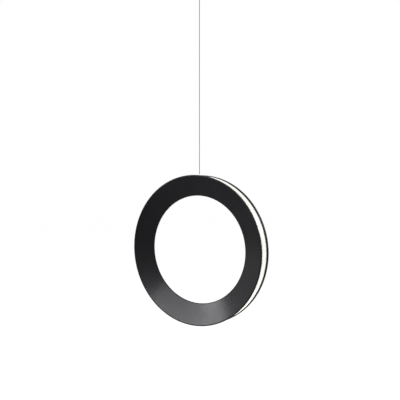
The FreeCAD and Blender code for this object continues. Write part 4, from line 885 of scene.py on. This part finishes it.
dress("gripper_balls", drawn("hardened_steel", (0.60, 0.60, 0.61, 1), (0.50, 0.50, 0.51, 1),
                             (900, 900, 900), 0.2))
wound = tube_line("spring_line", "POLY", [
    coil_place(step / COIL_STEPS) for step in range(COIL_TURNS * COIL_STEPS + 1)
], COIL_WIRE_RADIUS, rounding=3)
spring = linked("coil_spring", finished(wound))
bpy.data.objects.remove(wound)
spring.data.materials.clear()
spring.data.materials.append(drawn("spring_steel", (0.50, 0.50, 0.51, 1), (0.30, 0.30, 0.31, 1),
                                   (60, 60, 9000), 0.3))
stands_for(spring, "gripper", "gripper_spring")
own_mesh(spring)


# The swivel ball, turned and nickel-plated, which lets the pendant hang plumb from any ceiling, and
# the wire's upper stretches: up through the gripper and the ball, and over to the splice block.
dress("swivel_ball", SATIN_NICKEL)
dress("gripper_core", wire_finish)
dress("cable_tail", wire_finish)


# The canopy: a spun steel cup with a rounded lower edge, powder coated like the ring. It hangs on
# three side screws, and a moulded seat inside it carries the ball.
CANOPY_RADIUS = 0.060
CANOPY_FLOOR = -0.030
CANOPY_RIM = -0.0004
CANOPY_WALL = 0.0012
CANOPY_INSIDE = CANOPY_RADIUS - CANOPY_WALL
SIDE_SCREW_HEIGHT = -0.008
BALL_RADIUS = 0.009
BALL_RISE = 0.006
BALL_HOLE_GAP = 0.0004
BALL_HOLE = math.sqrt((BALL_RADIUS + BALL_HOLE_GAP) ** 2 - (BALL_RISE - CANOPY_WALL) ** 2)
canopy_coat = coated("canopy_powder_coat", (0.0050, 0.0049, 0.0052, 1),
                     (0.0062, 0.0061, 0.0065, 1), (0.035, 0.035, 0.036, 1), roughness=0.32,
                     specular=0.2, dust_share=0.01, rub_share=0.4)
canopy = upright_form("canopy_cup", 0, [
    (CANOPY_INSIDE, CANOPY_RIM, 0.0003), (CANOPY_RADIUS, CANOPY_RIM, 0.0003),
    (CANOPY_RADIUS, CANOPY_FLOOR, 0.0025), (BALL_HOLE, CANOPY_FLOOR, 0.0003),
    (BALL_HOLE, CANOPY_FLOOR + CANOPY_WALL, 0.0002),
    (CANOPY_INSIDE, CANOPY_FLOOR + CANOPY_WALL, 0.0013),
], 192, canopy_coat)
stands_for(canopy, "canopy", "canopy_cover")
canopy_screws = screws_round(
    "canopy_socket_screws", length=0.005, seat=(CANOPY_RADIUS + SEAT_GAP, 0, 0),
    outward=(1, 0, 0), count=3, axis=(0, 0, 1), centre=(0, 0, SIDE_SCREW_HEIGHT),
    material=BLACK_OXIDE)
stands_for(canopy_screws, "canopy", "canopy_side_screws")
dress("ball_seat", coated("moulded_black", (0.018, 0.018, 0.018, 1), (0.024, 0.024, 0.024, 1),
                          (0.06, 0.06, 0.06, 1), roughness=0.5, grain=1400.0,
                          grain_depth=0.00001, cloud=60.0))


# The ceiling plate: zinc-plated sheet steel, cut and folded, with two slots for the ceiling
# screws. The mains cable comes in through a rubber grommet.
plate_finish, tree, shader = new_material("zinc_plated_sheet", {"Metallic": 1.0})
place = own_place(tree)
crystals = add_node(tree, "ShaderNodeTexVoronoi", {"Vector": place, "Scale": 260.0})
split = add_node(tree, "ShaderNodeSeparateXYZ", {"Vector": crystals.outputs["Color"]})
texture = placed(tree, COAT_GRAIN, place, grain_size=1200.0, cloud_size=22.0)
edges = placed(tree, EDGE_RUB, place, reach=0.0004)
spangle = blended(tree, split.outputs["X"], (0.44, 0.45, 0.47, 1), (0.58, 0.59, 0.60, 1))
tree.links.new(blended(tree, maths(tree, "MULTIPLY", edges.outputs["Rub"], 0.5), spangle,
                       (0.80, 0.80, 0.80, 1)), shader.inputs["Base Color"])
tree.links.new(ranged(tree, split.outputs["Y"], 0.0, 1.0, 0.28, 0.44), shader.inputs["Roughness"])
bumped(tree, shader, texture.outputs["Height"], 0.3, 0.00001)
dress("ceiling_plate", plate_finish)
dress("entry_grommet", coated("rubber", (0.016, 0.016, 0.016, 1), (0.022, 0.022, 0.021, 1),
                              (0.05, 0.05, 0.05, 1), roughness=0.72, grain=1100.0,
                              grain_depth=0.00002, cloud=90.0, dust_share=0.12,
                              specular=0.3))


# The driver: a sealed white case between two grey end caps, screwed to the plate by their feet.
# It makes the low voltage that the wire carries down.
MOULDED_GREY = coated("moulded_grey", (0.36, 0.37, 0.38, 1), (0.41, 0.42, 0.43, 1),
                      (0.50, 0.51, 0.52, 1), roughness=0.48, grain=1500.0,
                      grain_depth=0.000012, cloud=50.0, dust_share=0.06)
dress("driver_case", coated("driver_white", (0.80, 0.80, 0.78, 1), (0.84, 0.84, 0.82, 1),
                            (0.88, 0.88, 0.86, 1), roughness=0.5, grain=1300.0,
                            grain_depth=0.00002, cloud=35.0, dust_share=0.06))
dress("driver_end_caps", MOULDED_GREY)
dress("driver_screws", ZINC_PLATE)


# The mains side: a white terminal block with sunk screws, a strap that clamps the mains cable,
# and a brass earth screw, all on the plate.
dress("terminal_block", MOULDED_WHITE)
dress("terminal_screws", ZINC_PLATE)
dress("strain_clamp", MOULDED_WHITE)
dress("strain_clamp_screws", ZINC_PLATE)
dress("earth_screw", drawn("brass", (0.72, 0.53, 0.24, 1), (0.58, 0.41, 0.17, 1),
                           (700, 700, 700), 0.28))


# The leads in the canopy, and the grey splice block where the driver's output meets the upper end
# of the wire.
dress("input_leads", SILICONE)
dress("output_leads", SILICONE)
dress("cable_coupler", MOULDED_GREY)


# The studio: a plain pale floor well below the ring, a white surround, one long soft lamp at the
# upper left in front, and weaker ones at the side, in front, overhead and behind.
FLOOR_HEIGHT = -1.9
FLOOR_REACH = 40


def soft_lamp(name, place, target, width, height, power, colour=(1, 1, 1)):
    """A soft rectangular lamp, turned to a target."""
    lamp = bpy.data.lights.new(name, "AREA")
    lamp.shape = "RECTANGLE"
    lamp.size = width
    lamp.size_y = height
    lamp.energy = power
    lamp.color = colour
    holder = linked(name, lamp)
    holder.location = place
    aim = Vector(target) - Vector(place)
    holder.rotation_euler = aim.to_track_quat("-Z", "Y").to_euler()


def seen_directly(tree):
    """1 on what the viewpoint sees straight, as a reflection or through glass, and else 0."""
    ray = add_node(tree, "ShaderNodeLightPath").outputs
    seen = maths(tree, "MAXIMUM", ray["Is Camera Ray"], ray["Is Glossy Ray"])
    return maths(tree, "MAXIMUM", seen, ray["Is Transmission Ray"])


soft_lamp("key_lamp", (-1.22, -2.00, 0.10), (0, 0, -0.86), width=2.15, height=0.6, power=228,
          colour=(0.98, 0.96, 1.0))
soft_lamp("side_lamp", (-2.1, -1.0, -0.7), (0, 0, -0.80), width=0.9, height=0.9, power=9)
soft_lamp("front_lamp", (0.0, -2.4, -0.3), (0, 0, -0.80), width=0.9, height=0.6, power=4)
soft_lamp("overhead_lamp", (-0.3, 0.2, 1.6), (0, 0, -0.76), width=2.4, height=2.4, power=12)
soft_lamp("rear_lamp", (1.3, 2.1, 0.2), (0, 0, -0.76), width=1.6, height=1.2, power=25)

pale = bpy.data.materials.new("studio_floor")
tree = emptied(pale)
plain = add_node(tree, "ShaderNodeBsdfDiffuse", {"Color": (0.8, 0.8, 0.8, 1)})
shaded = add_node(tree, "ShaderNodeBsdfDiffuse", {"Color": (0.3, 0.3, 0.3, 1)})
glow = add_node(tree, "ShaderNodeEmission", {"Color": (1, 1, 1, 1), "Strength": 0.92})
lifted = add_node(tree, "ShaderNodeAddShader", {0: shaded.outputs[0], 1: glow.outputs[0]})
choice = add_node(tree, "ShaderNodeMixShader", {0: seen_directly(tree), 1: plain.outputs[0],
                                                2: lifted.outputs[0]})
add_node(tree, "ShaderNodeOutputMaterial", {"Surface": choice.outputs[0]})
floor_mesh = bpy.data.meshes.new("studio_floor")
floor_mesh.from_pydata([(x * FLOOR_REACH, y * FLOOR_REACH, FLOOR_HEIGHT)
                        for x, y in ((-1, -1), (1, -1), (1, 1), (-1, 1))], [], [(0, 1, 2, 3)])
floor_mesh.materials.append(pale)
studio_floor = linked("studio_floor", floor_mesh)

surround = bpy.data.worlds.new("surround")
tree = emptied(surround)
level = ranged(tree, seen_directly(tree), 0.0, 1.0, 0.25, 1.0)
sky = add_node(tree, "ShaderNodeBackground", {"Color": (1, 1, 1, 1), "Strength": level})
add_node(tree, "ShaderNodeOutputWorld", {"Surface": sky.outputs[0]})
bpy.context.scene.world = surround
bpy.context.scene.view_settings.view_transform = "Standard"
